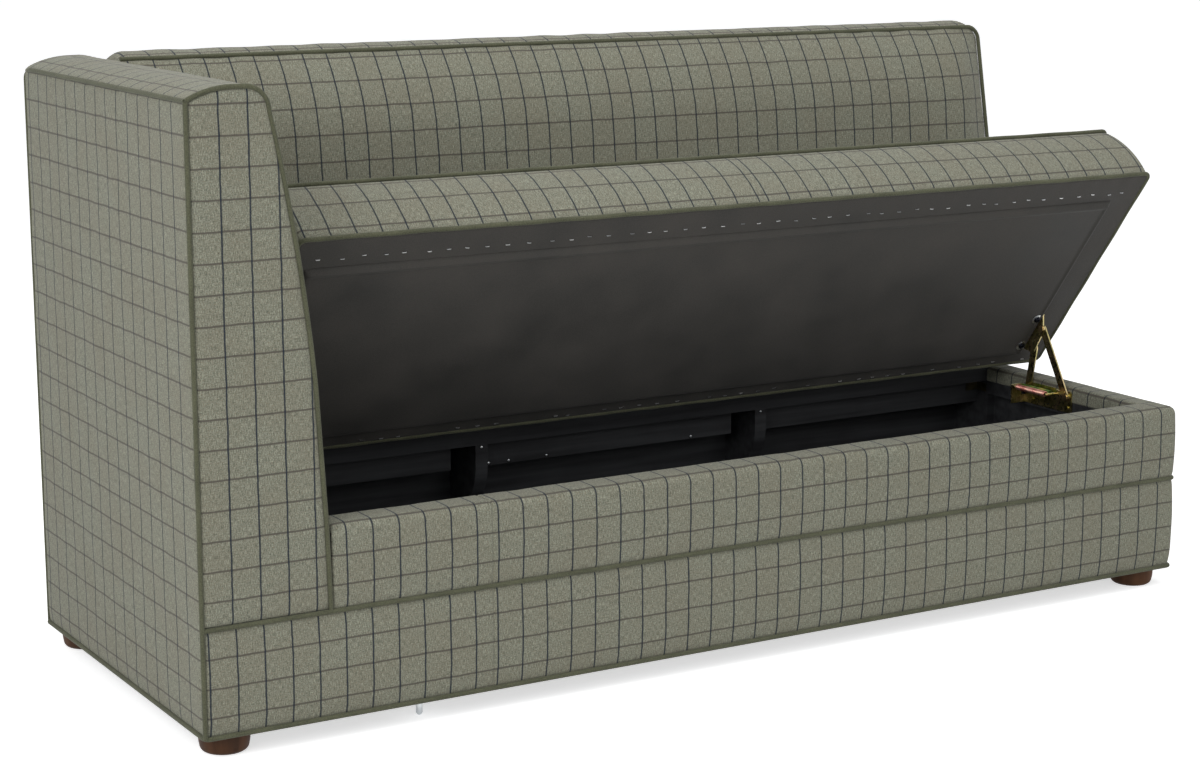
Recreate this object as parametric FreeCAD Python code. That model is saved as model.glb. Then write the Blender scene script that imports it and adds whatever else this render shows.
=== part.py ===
"""Corner storage banquette: an upholstered bench with a closed left arm, a back and a lift-up seat.

The solids are laid out on a bench frame, in millimetres: x runs right from the arm's outer side,
y runs back from the front and z runs up from the floor. On export they move so that the origin is
on the floor under the middle of the banquette. The seat is modelled open, as it stands when lifted.
"""
import FreeCAD
import Part
import math
import os

V = FreeCAD.Vector
same_place = 1e-6

# Overall sizes, over the piping
overall_width = 1748.0
overall_depth = 658.0
seat_rail_height = 309.0
mid_seam_height = 186.0
skirt_clearance = 30.0

# Cloth, wadding and piping
piping_radius = 3.5
piping_proud = 2.5
piping_sides = 8
seam_clearance = 0.2
panel_thickness = 6.0
band_padding = 14.0
band_bulge = 2.5
band_shoulder = 0.6
rail_edge_radius = 22.0
rail_cap = 6.0
lip_thickness = 2.2
lip_drop = 28.0
base_corner_radius = 14.0

# Arm, widths from its outer cloth face
arm_height = 896.0
arm_crown = 16.5
arm_crown_run = 70.0
arm_crown_middle_run = 25.0
arm_crown_middle_rise = 10.5
arm_shoulder_radius = 34.0
arm_top_width = 118.0
arm_waist_width = 152.5
arm_waist_height = 695.0
arm_low_width = 175.5
arm_low_height = 507.0
arm_seat_width = 187.5
arm_foot_width = 191.5

# Back, thicknesses from its outer cloth face
back_height = 897.0
back_crown = 18.0
back_top_thickness = 93.0
back_top_front_rise = 12.0
back_low_thickness = 172.0
back_low_height = 507.0
back_seat_thickness = 195.0
back_corner_radius = 28.0
back_edge_bend = 600.0
back_roll_thickness = 134.0
back_roll_height = 855.0
back_shoulder_thickness = 158.0
back_shoulder_height = 778.0
back_belly_thickness = 169.0
back_belly_height = 650.0
back_crown_runs = (60.0, 20.0, 0.0)  # places from the pad's free end where its crown fades
back_crown_shares = (1.0, 0.6, 0.12)  # share of the crown that is left at those places
boxing_thickness = 9.0
pad_gap = 1.0

# Timber and boards
board_thickness = 18.0
front_batten = 22.0
end_batten = 16.0
batten_height = 45.0
frame_timber = 25.0
post_width = 45.0
floor_thickness = 10.0
deck_thickness = 12.0
rear_board_depth = 62.0
ledge_bearing = 12.0
ledge_depth = 38.0
ledge_height = 27.0
lower_rail_setback = 30.0
lower_rail_thickness = 22.0
lower_rail_height = 43.0
rib_thickness = 22.0
rib_positions = (650.0, 1191.0)
rib_gap = 30.0
rib_foot_height = 155.0
rib_nose_height = 245.0
rib_nose_setback = 1.0
rib_heel_rise = 9.0
rib_sweep_run = 15.0
rib_sweep_rise = 45.0
underlay_thickness = 0.8
corner_bracket_leg = 26.0
corner_bracket_height = 15.0
corner_bracket_sheet = 1.5
corner_bracket_drop = 6.0

# Seat lid
lid_gap_left = 5.0
lid_back_gap = 8.5
lid_rest_gap = 0.5
lid_piping_hang = 2.0
lid_board_thickness = 15.0
lid_board_inset = 9.0
lid_board_clearance = 0.3
lid_thickness = 122.0
lid_crown = 16.0
lid_front_bulge = 5.0
lid_rear_bulge = 1.0
lid_bulge_height = 49.0
lid_top_setback = 13.0
lid_rear_setback = 22.0
lid_corner_radius = 22.0
lid_plan_radius = 40.0  # rounding of the cushion's corners, seen from above
lid_end_draw = 6.0
lid_end_run = 14.0
lid_end_crown = 5.0
lid_edge_crown = 1.0
lid_crown_run = 160.0
border_thickness = 0.8
border_inset = 9.0
dust_panel_thickness = 4.0
dust_panel_front_inset = 61.0
dust_panel_rear_inset = 28.0
dust_panel_right_inset = 56.0
dust_panel_left_inset = 20.0
dust_panel_edge = 2.5

# Lift hinge: base pivots from the lid's closed rear edge, lid pivots from its rear edge and underside
lid_open_angle = 53.2
rear_pivot_reach = 131.8
rear_pivot_drop = 17.6
front_pivot_reach = 233.8
front_pivot_drop = 19.6
lid_rear_pivot_reach = 60.7
lid_rear_pivot_drop = 21.8
lid_front_pivot_reach = 105.7
lid_front_pivot_drop = 17.8
plate_thickness = 2.5
link_gap = 0.4
link_width = 15.0
rivet_radius = 3.5
rivet_clearance = 0.05
rivet_head_radius = 6.0
rivet_head_height = 1.6
bracket_margin = 10.0
bracket_height = 38.0
bracket_corner = 4.0
screw_rise = 8.0
fastener_sides = 12
screw_radius = 2.5
screw_head_radius = 4.5
screw_head_height = 2.2
screw_length = 12.0
lid_plate_width = 20.0
bolt_radius = 3.0
bolt_head_radius = 5.5
bolt_head_height = 3.5
bolt_crown_radius = 3.5
bolt_crown_height = 1.2
washer_radius = 8.0
washer_thickness = 1.2

# Assist springs, two on each hinge
spring_coil_radius = 4.0
spring_wire_radius = 1.3
spring_spacing = 10.8
spring_pin_reach = 24.0
spring_pin_clearance = 0.2
spring_height = 2.0
spring_ear_gap = 4.0
spring_ear_cover = 1.0

# Feet and support leg
foot_radius = 36.0
foot_sole_radius = 31.0
foot_edge = 4.0
foot_waist_height = 21.0
foot_inset = 46.0
leg_radius = 5.0
leg_plate = 40.0
leg_tip_radius = 3.0
leg_tip_height = 3.0
leg_position = 345.0
leg_inset = 40.0

# Cloth faces, inside the piping
left = piping_proud
right = overall_width - piping_proud
front = piping_proud
rear = overall_depth - piping_proud
pipe_inset = piping_radius - piping_proud
pipe_room = piping_radius + seam_clearance
edge_room = pipe_inset + pipe_room

# Base levels
carcass_bottom = skirt_clearance + 2 * piping_radius
board_top = seat_rail_height - rail_cap
floor_top = carcass_bottom + floor_thickness
bottom_pipe_height = skirt_clearance + piping_radius

# Base walls, from the cloth faces inwards
front_board_face = front + band_padding
front_board_back = front_board_face + board_thickness
front_batten_back = front_board_back + front_batten
right_board_face = right - band_padding
right_board_inner = right_board_face - board_thickness
right_batten_inner = right_board_inner - end_batten
hinge_wall_right = right_batten_inner - lip_thickness
left_wall_outer = left + arm_seat_width + pad_gap
left_wall_inner = left_wall_outer + board_thickness
arm_foot_edge = left + arm_foot_width

# Seat and ledge
back_seat_face = rear - back_seat_thickness
lid_front = front - pipe_inset / 2
lid_rear = back_seat_face - lid_back_gap
lid_left = arm_foot_edge + lid_gap_left - pipe_inset
lid_right = right
lid_bottom = seat_rail_height + lid_rest_gap + lid_piping_hang
ledge_face = lid_rear - ledge_bearing
ledge_top = seat_rail_height
ledge_back = ledge_face + ledge_depth
deck_bottom = ledge_top - deck_thickness
ledge_bottom = ledge_top - ledge_height
lower_rail_face = ledge_face + lower_rail_setback
rear_board_face = lower_rail_face + rear_board_depth
back_frame_face = rear - panel_thickness - frame_timber
back_frame_top = back_height - boxing_thickness - frame_timber / 2
arm_frame_top = arm_height - frame_timber
spring_pin_radius = spring_coil_radius - spring_wire_radius - spring_pin_clearance

# Hinge pivots on the base, in y and z
rear_pivot = (lid_rear - rear_pivot_reach, lid_bottom - rear_pivot_drop)
front_pivot = (lid_rear - front_pivot_reach, lid_bottom - front_pivot_drop)


def point(plane, at, a, b):
    """A bench point from two plane coordinates and the plane's own place."""
    places = {"xz": (a, at, b), "yz": (at, a, b), "xy": (a, b, at)}
    return V(*places[plane])


def outline(plane, at, start, *steps):
    """A closed wire of lines, given by their end, and arcs, given by a middle and an end."""
    edges = []
    last = point(plane, at, *start)
    for step in steps + (start,):
        if isinstance(step[0], tuple):
            middle = point(plane, at, *step[0])
            end = point(plane, at, *step[1])
            edges.append(arc(last, middle, end))
        else:
            end = point(plane, at, *step)
            if end.distanceToPoint(last) < same_place:
                continue
            edges.append(line(last, end))
        last = end
    return Part.Wire(edges)


def slab(plane, at, depth, start, *steps):
    """A plate of the given depth, pushed from its plane along the plane's normal."""
    normals = {"xz": V(0, 1, 0), "yz": V(1, 0, 0), "xy": V(0, 0, 1)}
    face = Part.Face(outline(plane, at, start, *steps))
    return face.extrude(normals[plane] * depth)


def block(x0, x1, y0, y1, z0, z1):
    """A straight-sided block between two corners."""
    return Part.makeBox(x1 - x0, y1 - y0, z1 - z0, V(x0, y0, z0))


def rod(start, end, radius):
    """A round rod between two points."""
    run = end - start
    return Part.makeCylinder(radius, run.Length, start, run)


def line(start, end):
    """A straight edge."""
    return Part.LineSegment(start, end).toShape()


def arc(start, middle, end):
    """An edge on the circle through three points."""
    return Part.Arc(start, middle, end).toShape()


def bent_path(points, bends):
    """Edges through the points with a tangent arc of the given radius at each inner point."""
    edges = []
    last = points[0]
    for corner, after, bend in zip(points[1:-1], points[2:], bends):
        before = (last - corner).normalize()
        onward = (after - corner).normalize()
        half_turn = before.getAngle(onward) / 2
        reach = bend / math.tan(half_turn)
        start = corner + before * reach
        end = corner + onward * reach
        middle_way = (before + onward).normalize()
        middle = corner + middle_way * (bend / math.sin(half_turn) - bend)
        edges += [line(last, start), arc(start, middle, end)]
        last = end
    edges.append(line(last, points[-1]))
    return edges


def ring_path(x0, x1, y0, y1, z, bend):
    """Edges of a closed level path round a rectangle with rounded corners."""
    k = corner_cut(bend)
    corners = (
        ((x1 - bend, y0), (x1 - k, y0 + k), (x1, y0 + bend)),
        ((x1, y1 - bend), (x1 - k, y1 - k), (x1 - bend, y1)),
        ((x0 + bend, y1), (x0 + k, y1 - k), (x0, y1 - bend)),
        ((x0, y0 + bend), (x0 + k, y0 + k), (x0 + bend, y0)),
    )
    edges = []
    last = V(x0 + bend, y0, z)
    for start, middle, end in corners:
        edges += [line(last, V(*start, z)), arc(V(*start, z), V(*middle, z), V(*end, z))]
        last = V(*end, z)
    return edges


def corner_cut(radius):
    """How far the middle of a quarter round lies inside the sharp corner, along each side."""
    return radius * (1 - math.sqrt(0.5))


def many_sided(centre, heading, aside, radius, sides):
    """A flat face with equal sides, square to its heading, with one corner on the aside direction."""
    other = heading.cross(aside)
    corners = []
    for n in range(sides + 1):
        turn = 2 * math.pi * n / sides
        corners.append(centre + aside * (radius * math.cos(turn)) + other * (radius * math.sin(turn)))
    return Part.Face(Part.makePolygon(corners))


def square_to(heading, aside):
    """The direction nearest to aside that is square to a heading."""
    return (aside - heading * heading.dot(aside)).normalize()


def cord(edges, radius):
    """Piping along lines and arcs that run into each other, each made by a push or a turn of its section."""
    first = edges[0].tangentAt(edges[0].FirstParameter)
    aside = V(1, 0, 0) if abs(first.z) > abs(first.x) else V(0, 0, 1)
    runs = []
    for edge in edges:
        heading = edge.tangentAt(edge.FirstParameter)
        aside = square_to(heading, aside)
        start = edge.valueAt(edge.FirstParameter)
        face = many_sided(start, heading, aside, radius, piping_sides)
        if edge.Curve.TypeId == "Part::GeomLine":
            runs.append(face.extrude(heading * edge.Length))
        else:
            turn = math.degrees(edge.LastParameter - edge.FirstParameter)
            runs.append(face.revolve(edge.Curve.Center, edge.Curve.Axis, turn))
            aside = FreeCAD.Rotation(edge.Curve.Axis, turn).multVec(aside)
    if len(runs) == 1:
        return runs[0]
    return runs[0].fuse(runs[1:]).removeSplitter()


def stud(start, end, radius):
    """A short many-sided shank or head between two points."""
    run = end - start
    heading = V(run).normalize()
    aside = square_to(heading, V(0, 1, 1))
    return many_sided(start, heading, aside, radius, fastener_sides).extrude(run)


def largest(shape):
    """The main solid of a shape that a cut left in more than one piece."""
    return max(shape.Solids, key=lambda solid: solid.Volume)


def on_circle(centre, radius, degrees):
    """A plane point on a circle."""
    turn = math.radians(degrees)
    return (centre[0] + radius * math.cos(turn), centre[1] + radius * math.sin(turn))


def lid_offset(reach, rise, degrees):
    """Where a point of the seat lies from its rear bottom edge when the seat stands at an angle."""
    turn = math.radians(degrees)
    return (
        -reach * math.cos(turn) + rise * math.sin(turn),
        reach * math.sin(turn) + rise * math.cos(turn),
    )


def open_rear_edge():
    """The rear bottom edge of the open seat, where the swings of both links hold it."""
    links = (
        (rear_pivot, lid_rear_pivot_reach, lid_rear_pivot_drop),
        (front_pivot, lid_front_pivot_reach, lid_front_pivot_drop),
    )
    circles = []
    for pivot, reach, drop in links:
        closed = lid_offset(reach, -drop, 0)
        opened = lid_offset(reach, -drop, lid_open_angle)
        length = math.hypot(lid_rear + closed[0] - pivot[0], lid_bottom + closed[1] - pivot[1])
        circles.append((pivot[0] - opened[0], pivot[1] - opened[1], length))
    (ay, az, ra), (by, bz, rb) = circles
    apart = math.hypot(by - ay, bz - az)
    along = (ra * ra - rb * rb + apart * apart) / (2 * apart)
    aside = math.sqrt(ra * ra - along * along)
    uy, uz = (by - ay) / apart, (bz - az) / apart
    meets = [(ay + along * uy + s * aside * uz, az + along * uz - s * aside * uy) for s in (1, -1)]
    return min(meets)


lid_open_edge = open_rear_edge()


def opened(shape):
    """The seat's piece, modelled closed, turned and carried to where the links hold it open."""
    moved = shape.copy()
    moved.rotate(V(0, lid_rear, lid_bottom), V(1, 0, 0), -lid_open_angle)
    moved.translate(V(0, lid_open_edge[0] - lid_rear, lid_open_edge[1] - lid_bottom))
    return moved


def lid_point(reach, drop):
    """A pivot of the open seat, in y and z."""
    offset = lid_offset(reach, -drop, lid_open_angle)
    return (lid_open_edge[0] + offset[0], lid_open_edge[1] + offset[1])


lid_rear_pivot = lid_point(lid_rear_pivot_reach, lid_rear_pivot_drop)
lid_front_pivot = lid_point(lid_front_pivot_reach, lid_front_pivot_drop)


# Arm

def arm_face_steps(inset):
    """The arm's outline from its outer top corner over the crown and down its inner face to the seat."""
    crest = arm_height + arm_crown - inset
    edge = left + arm_top_width - inset
    shoulder = crest - arm_shoulder_radius
    k = corner_cut(arm_shoulder_radius)
    crown_middle = (left + arm_crown_middle_run, arm_height - inset + arm_crown_middle_rise)
    return (
        (left + inset, arm_height - inset),
        (crown_middle, (left + arm_crown_run, crest)),
        (edge - arm_shoulder_radius, crest),
        ((edge - k, crest - k), (edge, shoulder)),
        ((left + arm_waist_width - inset, arm_waist_height), (left + arm_low_width - inset, arm_low_height)),
        (left + arm_seat_width - inset, seat_rail_height),
    )


def make_arm():
    """The arm's timber, its pad and its two cloth panels."""
    frame_x0 = left + panel_thickness
    frame_x1 = frame_x0 + frame_timber
    pad_front = front + edge_room
    pad_rear = rear - panel_thickness - seam_clearance
    rail_bottom = arm_frame_top - frame_timber
    mid_top = mid_seam_height + pipe_room
    panel_top = arm_height - edge_room
    pad = slab(
        "xz", pad_front, pad_rear - pad_front,
        (frame_x0, board_top), (frame_x0, panel_top), (left, panel_top),
        *arm_face_steps(0), (left + arm_seat_width, board_top),
    )
    foot = block(frame_x0, arm_foot_edge, pad_front, front_board_face, mid_top, board_top)
    frame_room = block(frame_x0, frame_x1, front_board_back, pad_rear, board_top, arm_frame_top)
    pad = pad.fuse(foot).cut(frame_room).cut(cord(arm_top_pipe_path(), pipe_room))
    panel_left = left + panel_thickness + seam_clearance
    inset = arm_face_steps(edge_room)
    panel = slab(
        "xz", front, pad_front - front - seam_clearance,
        (panel_left, mid_top), (panel_left, panel_top), *inset, (arm_foot_edge - edge_room, mid_top),
    )
    panel = panel.cut(cord(arm_front_pipe_path(), pipe_room))
    return {
        "arm_pad": largest(pad.removeSplitter()),
        "arm_front_panel": largest(panel),
        "arm_outer_panel": block(left, frame_x0, pad_front, pad_rear, carcass_bottom, panel_top),
        "arm_front_post": block(frame_x0, frame_x1, front_board_back, front_board_back + post_width,
                                carcass_bottom, rail_bottom),
        "arm_rear_post": block(frame_x0, frame_x1, pad_rear - post_width, pad_rear, carcass_bottom,
                               rail_bottom),
        "arm_top_rail": block(frame_x0, frame_x1, front_board_back, pad_rear, rail_bottom, arm_frame_top),
    }


def arm_top_pipe_path():
    """Along the arm's outer top edge, from behind the front corner to the rear corner."""
    x = left + pipe_inset
    z = arm_height - pipe_inset
    return [line(V(x, front + edge_room, z), V(x, rear - edge_room, z))]


def arm_front_pipe_path():
    """From the mid seam up the arm's inner front edge and over its crown to the outer top corner."""
    y = front + pipe_inset
    edges = []
    last = V(arm_foot_edge - pipe_inset, y, mid_seam_height + pipe_room)
    for step in reversed_steps(arm_face_steps(pipe_inset)):
        if isinstance(step[0], tuple):
            end = point("xz", y, *step[1])
            edges.append(arc(last, point("xz", y, *step[0]), end))
        else:
            end = point("xz", y, *step)
            edges.append(line(last, end))
        last = end
    return edges


def make_arm_piping():
    """Piping round the arm's front panel, down its front corner and along its outer top edge."""
    x = left + pipe_inset
    y = front + pipe_inset
    corner = [line(V(x, y, carcass_bottom + seam_clearance), V(x, y, arm_height - edge_room))]
    return {
        "arm_front_piping": cord(arm_front_pipe_path(), piping_radius),
        "arm_corner_piping": cord(corner, piping_radius),
        "arm_top_piping": cord(arm_top_pipe_path(), piping_radius),
    }


def reversed_steps(steps):
    """The same outline steps walked from the other end."""
    ends = [s[1] if isinstance(s[0], tuple) else s for s in steps]
    turned = [ends[-1]]
    for index in range(len(steps) - 1, 0, -1):
        step = steps[index]
        if isinstance(step[0], tuple):
            turned.append((step[0], ends[index - 1]))
        else:
            turned.append(ends[index - 1])
    return turned


# Back

def back_face_points():
    """Front edge of the back in y and z, from its top seam down to the seat."""
    return (
        (rear - back_top_thickness, back_height + back_top_front_rise),
        (rear - back_low_thickness, back_low_height),
        (rear - back_seat_thickness, ledge_top),
    )


def seam_thickness(height):
    """Thickness of the back along its straight free edge, at a height between its top and its low point."""
    ends = ((back_height + back_top_front_rise, back_top_thickness), (back_low_height, back_low_thickness))
    (z0, t0), (z1, t1) = ends
    return t0 + (t1 - t0) * (z0 - height) / (z0 - z1)


def back_crown_section(x, share):
    """Section, at a place along the back, of what the pad stands ahead of its seams: a roll over a belly."""
    def ahead(thickness, height):
        seam = seam_thickness(height)
        return (rear - seam - share * (thickness - seam), height)
    top, low, seat = back_face_points()
    roll = ahead(back_roll_thickness, back_roll_height)
    shoulder = ahead(back_shoulder_thickness, back_shoulder_height)
    belly = ahead(back_belly_thickness, back_belly_height)
    return outline("yz", x, top, (roll, shoulder), (belly, low))


def make_back_crown():
    """The crown of the back's pad, full along the back and fading to its free end."""
    end = right - boxing_thickness
    places = [(left + arm_top_width, 1.0)]
    places += [(end - run, share) for run, share in zip(back_crown_runs, back_crown_shares)]
    return Part.makeLoft([back_crown_section(x, share) for x, share in places], True, True)


def back_pipe_path():
    """Along the back's top front edge, round its free top corner and down its free front edge."""
    top, low, seat = back_face_points()
    x = right - pipe_inset
    points = [V(left + arm_top_width + pad_gap, top[0] + pipe_inset, top[1] - pipe_inset)]
    points += [V(x, y + pipe_inset, z - pipe_inset) for y, z in (top, low)]
    points.append(V(x, seat[0] + pipe_inset, seat_rail_height + pipe_room))
    return bent_path(points, (back_corner_radius, back_edge_bend))


def rounded_end(x0, x1, z0, z1, radius):
    """A plate over the whole depth, upright, with its top right corner rounded."""
    k = corner_cut(radius)
    return slab(
        "xz", 0, overall_depth,
        (x0, z0), (x0, z1), (x1 - radius, z1), ((x1 - k, z1 - k), (x1, z1 - radius)), (x1, z0),
    )


def make_back():
    """The back's timber, its pad, its boxing strip, its outer panel and its piping."""
    top, low, seat = back_face_points()
    pad_rear = back_frame_face
    outer_face = rear - panel_thickness
    pad_back = outer_face - seam_clearance
    panel_top = back_height - edge_room
    crown = back_height + back_crown
    whole = slab(
        "yz", left, right - left,
        (pad_back, ledge_top), (pad_back, panel_top), (rear, panel_top), (rear, back_height),
        ((rear - back_top_thickness / 2, crown), top), low, seat,
    )
    limit = rounded_end(left + arm_top_width + pad_gap, right, ledge_top, crown, back_corner_radius)
    arm_steps = [shift_step(s, pad_gap) for s in arm_face_steps(0)]
    arm_room = slab(
        "xz", 0, overall_depth,
        (0, 0), (0, arm_height), *arm_steps, (left + arm_seat_width + pad_gap, 0),
    )
    whole = whole.common(limit).cut(arm_room)
    inner_top = back_height - boxing_thickness
    inner = rounded_end(left, right - boxing_thickness, 0, inner_top, back_corner_radius - boxing_thickness)
    front_pipe_room = cord(back_pipe_path(), pipe_room)
    rear_pipe_room = cord(rear_pipe_path(), pipe_room)
    frame_room = block(left, overall_width, pad_rear, rear, 0, inner_top)
    pad = whole.common(inner).cut(frame_room).fuse(make_back_crown().cut(arm_room))
    panel = block(left + edge_room, right - edge_room, outer_face, rear, carcass_bottom, panel_top)
    nodes = {
        "back_pad": largest(pad.cut(front_pipe_room).removeSplitter()),
        "back_boxing": largest(whole.cut(inner).cut(front_pipe_room).cut(rear_pipe_room)),
        "outer_back_panel": largest(panel.cut(rear_pipe_room)),
        "back_front_piping": cord(back_pipe_path(), piping_radius),
        "rear_piping": cord(rear_pipe_path(), piping_radius),
    }
    timber_face = pad_rear + seam_clearance
    post_top = back_frame_top - frame_timber
    span_left = left_wall_inner + pad_gap
    span_right = right_board_inner - pad_gap
    spots = (span_left, (span_left + span_right - post_width) / 2, span_right - post_width)
    posts = [block(x, x + post_width, timber_face, outer_face, carcass_bottom, post_top) for x in spots]
    nodes["back_posts"] = Part.makeCompound(posts)
    nodes["back_top_rail"] = block(span_left, span_right, timber_face, outer_face, post_top, back_frame_top)
    return nodes


def shift_step(step, distance):
    """An outline step moved sideways."""
    if isinstance(step[0], tuple):
        return tuple((a + distance, b) for a, b in step)
    return (step[0] + distance, step[1])


def rear_pipe_path():
    """Up the rear left corner, along the top rear edge and down the rear right corner."""
    y = rear - pipe_inset
    x0 = left + pipe_inset
    x1 = right - pipe_inset
    top = back_height - pipe_inset
    points = [
        V(x0, y, carcass_bottom + seam_clearance),
        V(x0, y, top),
        V(x1, y, top),
        V(x1, y, carcass_bottom + seam_clearance),
    ]
    return bent_path(points, (2 * piping_radius, back_corner_radius))


# Base

def band_steps(face, depth_sign, z0, z1, batten):
    """Section of a padded band: its bulging face and, where it wraps a batten, its rolled top and lip."""
    def deep(distance):
        return face + depth_sign * distance
    if batten is None:
        return ((deep(band_padding), z0), (deep(band_bulge), z0),
                ((deep(0), (z0 + z1) / 2), (deep(band_bulge), z1)), (deep(band_padding), z1))
    inner = band_padding + board_thickness + batten
    lip = inner + lip_thickness
    roll = rail_edge_radius
    k = corner_cut(roll)
    cap_k = corner_cut(rail_cap)
    return (
        (deep(band_padding), z0), (deep(band_bulge), z0),
        ((deep(0), (z0 + z1 - roll) / 2), (deep(band_shoulder), z1 - roll)),
        ((deep(k), z1 - k), (deep(roll), z1)),
        (deep(lip - rail_cap), z1),
        ((deep(lip - cap_k), z1 - cap_k), (deep(lip), z1 - rail_cap)),
        (deep(lip), z1 - lip_drop), (deep(inner), z1 - lip_drop),
        (deep(inner), board_top), (deep(band_padding), board_top),
    )


def make_bands():
    """Padded cloth bands of the front and the free right end, mitred at the corner."""
    far = overall_width
    over = seat_rail_height + rail_cap
    mitre = slab("xy", 0, over, (right, front), (right - far, front + far), (-far, far), (-far, front))
    limit = block(0, right, front, rear - panel_thickness - seam_clearance, 0, over)
    corner = [e for e in limit.Edges
              if e.BoundBox.XMin > right - pipe_room and e.BoundBox.YMax < front + pipe_room]
    limit = limit.makeFillet(base_corner_radius, corner)
    upper = (mid_seam_height + pipe_room, seat_rail_height)
    lower = (carcass_bottom + seam_clearance, mid_seam_height - pipe_room)
    upper_left = arm_foot_edge + pipe_room - pipe_inset
    lower_left = left + panel_thickness + seam_clearance
    wall_room = block(0, left_wall_inner, front_board_back, overall_depth, 0, over)
    deck_room = block(0, right_board_inner, ledge_face, overall_depth, 0, over)
    front_upper = slab("yz", upper_left, right - upper_left, *band_steps(front, 1, *upper, front_batten))
    front_lower = slab("yz", lower_left, right - lower_left, *band_steps(front, 1, *lower, None))
    end_upper = slab("xz", front, rear - front, *band_steps(right, -1, *upper, end_batten))
    end_lower = slab("xz", front, rear - front, *band_steps(right, -1, *lower, None))
    return {
        "front_upper_band": largest(front_upper.common(mitre).common(limit).cut(wall_room)),
        "front_lower_band": front_lower.common(mitre).common(limit),
        "end_upper_band": largest(end_upper.cut(mitre).common(limit).cut(deck_room)),
        "end_lower_band": end_lower.cut(mitre).common(limit),
    }


def make_carcass():
    """Boards, battens, rails and ribs of the storage box."""
    board_left = left + panel_thickness
    batten_bottom = board_top - batten_height
    rail_back = lower_rail_face + lower_rail_thickness
    nodes = {
        "front_board": block(board_left, right_board_face, front_board_face, front_board_back,
                             carcass_bottom, board_top),
        "front_batten": block(left_wall_inner, hinge_wall_right, front_board_back, front_batten_back,
                              batten_bottom, board_top),
        "right_end_board": block(right_board_inner, right_board_face, front_board_back,
                                 rear - panel_thickness, carcass_bottom, board_top),
        "right_batten": block(right_batten_inner, right_board_inner, front_board_back, ledge_face,
                              batten_bottom, board_top),
        "left_end_board": block(left_wall_outer, left_wall_inner, front_board_back, back_frame_face,
                                carcass_bottom, seat_rail_height),
        "floor_board": block(left_wall_inner, right_board_inner, front_board_back, rear_board_face,
                             carcass_bottom, floor_top),
        "ledge_rail": block(left_wall_inner, right_board_inner, ledge_face, ledge_back, ledge_bottom,
                            ledge_top),
        "deck_board": block(left_wall_inner, right_board_inner, ledge_back, back_frame_face, deck_bottom,
                            ledge_top),
        "rear_board": block(left_wall_inner, right_board_inner, rear_board_face,
                            rear_board_face + deck_thickness, carcass_bottom, deck_bottom),
        "corner_post": block(right_batten_inner, right_board_inner, ledge_face, rear_board_face, floor_top,
                             ledge_bottom),
        "under_cover": block(left + band_padding, right - band_padding, front + band_padding,
                             rear - band_padding, carcass_bottom - underlay_thickness, carcass_bottom),
    }
    starts = (left_wall_inner,) + tuple(x + rib_thickness for x in rib_positions)
    ends = tuple(x - rib_gap for x in rib_positions) + (right_batten_inner,)
    rails = [block(x0, x1, lower_rail_face, rail_back, ledge_bottom - lower_rail_height, ledge_bottom)
             for x0, x1 in zip(starts, ends)]
    nodes["lower_rails"] = Part.makeCompound(rails)
    nose = ledge_face + rib_nose_setback
    middle = (nose + rib_sweep_run, rib_nose_height - rib_sweep_rise)
    heel = (rear_board_face - lower_rail_thickness, rib_foot_height + rib_heel_rise)
    for side, x in zip(("left", "right"), rib_positions):
        nodes[f"ledge_rib_{side}"] = slab(
            "yz", x, rib_thickness,
            (rear_board_face, rib_foot_height), (rear_board_face, ledge_bottom), (nose, ledge_bottom),
            (nose, rib_nose_height), (middle, heel), (rear_board_face - rib_heel_rise, rib_foot_height),
        )
    return nodes


def make_base_piping():
    """Piping along the mid seam of the front and end, and round the bottom edge."""
    x0 = left + edge_room
    x1 = right - pipe_inset
    y0 = front + pipe_inset
    y1 = rear - edge_room
    bend = base_corner_radius - pipe_inset
    z = mid_seam_height
    mid = bent_path([V(x0, y0, z), V(x1, y0, z), V(x1, y1, z)], (bend,))
    bottom = ring_path(left + pipe_inset, x1, y0, rear - pipe_inset, bottom_pipe_height, bend)
    return {"mid_piping": cord(mid, piping_radius), "bottom_piping": cord(bottom, piping_radius)}


def turned(profile):
    """A solid turned about the upright axis from an outline of radius and height."""
    return Part.Face(outline("xz", 0, *profile)).revolve(V(0, 0, 0), V(0, 0, 1), 360)


def make_feet():
    """Four low turned feet under the corners and one steel leg behind the front edge."""
    height = carcass_bottom - underlay_thickness
    foot = turned((
        (0, 0), (foot_sole_radius - foot_edge, 0), (foot_sole_radius, foot_edge),
        (foot_radius, foot_waist_height), (foot_radius, height), (0, height),
    ))
    feet = []
    for x in (left + foot_inset, right - foot_inset):
        for y in (front + foot_inset, rear - foot_inset):
            placed = foot.copy()
            placed.translate(V(x, y, 0))
            feet.append(placed)
    plate_z = height - plate_thickness
    leg = turned((
        (0, 0), (leg_tip_radius, 0), (leg_radius, leg_tip_height), (leg_radius, plate_z), (0, plate_z),
    ))
    half = leg_plate / 2
    leg = leg.fuse(block(-half, half, -half, half, plate_z, height)).removeSplitter()
    leg.translate(V(leg_position, front + leg_inset, 0))
    return {"feet": Part.makeCompound(feet), "support_leg": leg}


# Seat lid, made closed and then opened

def lid_section(x, draw, crown):
    """Outline of the seat cushion at one place along it, drawn in and less crowned towards the ends."""
    y0 = lid_front + draw
    y1 = lid_rear - draw
    z0 = lid_bottom + border_thickness
    z1 = lid_bottom + lid_thickness - draw
    top_front = (y0 + lid_top_setback, z1)
    top_rear = (y1 - lid_rear_setback, z1)
    bulge_z = z0 + lid_bulge_height
    return outline(
        "yz", x,
        (y1, z0), (y0 + pipe_inset, z0),
        ((y0 - lid_front_bulge, bulge_z), top_front),
        (((y0 + y1) / 2, z1 + crown), top_rear),
        ((y1 + lid_rear_bulge, bulge_z), (y1, z0)),
    )


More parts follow.
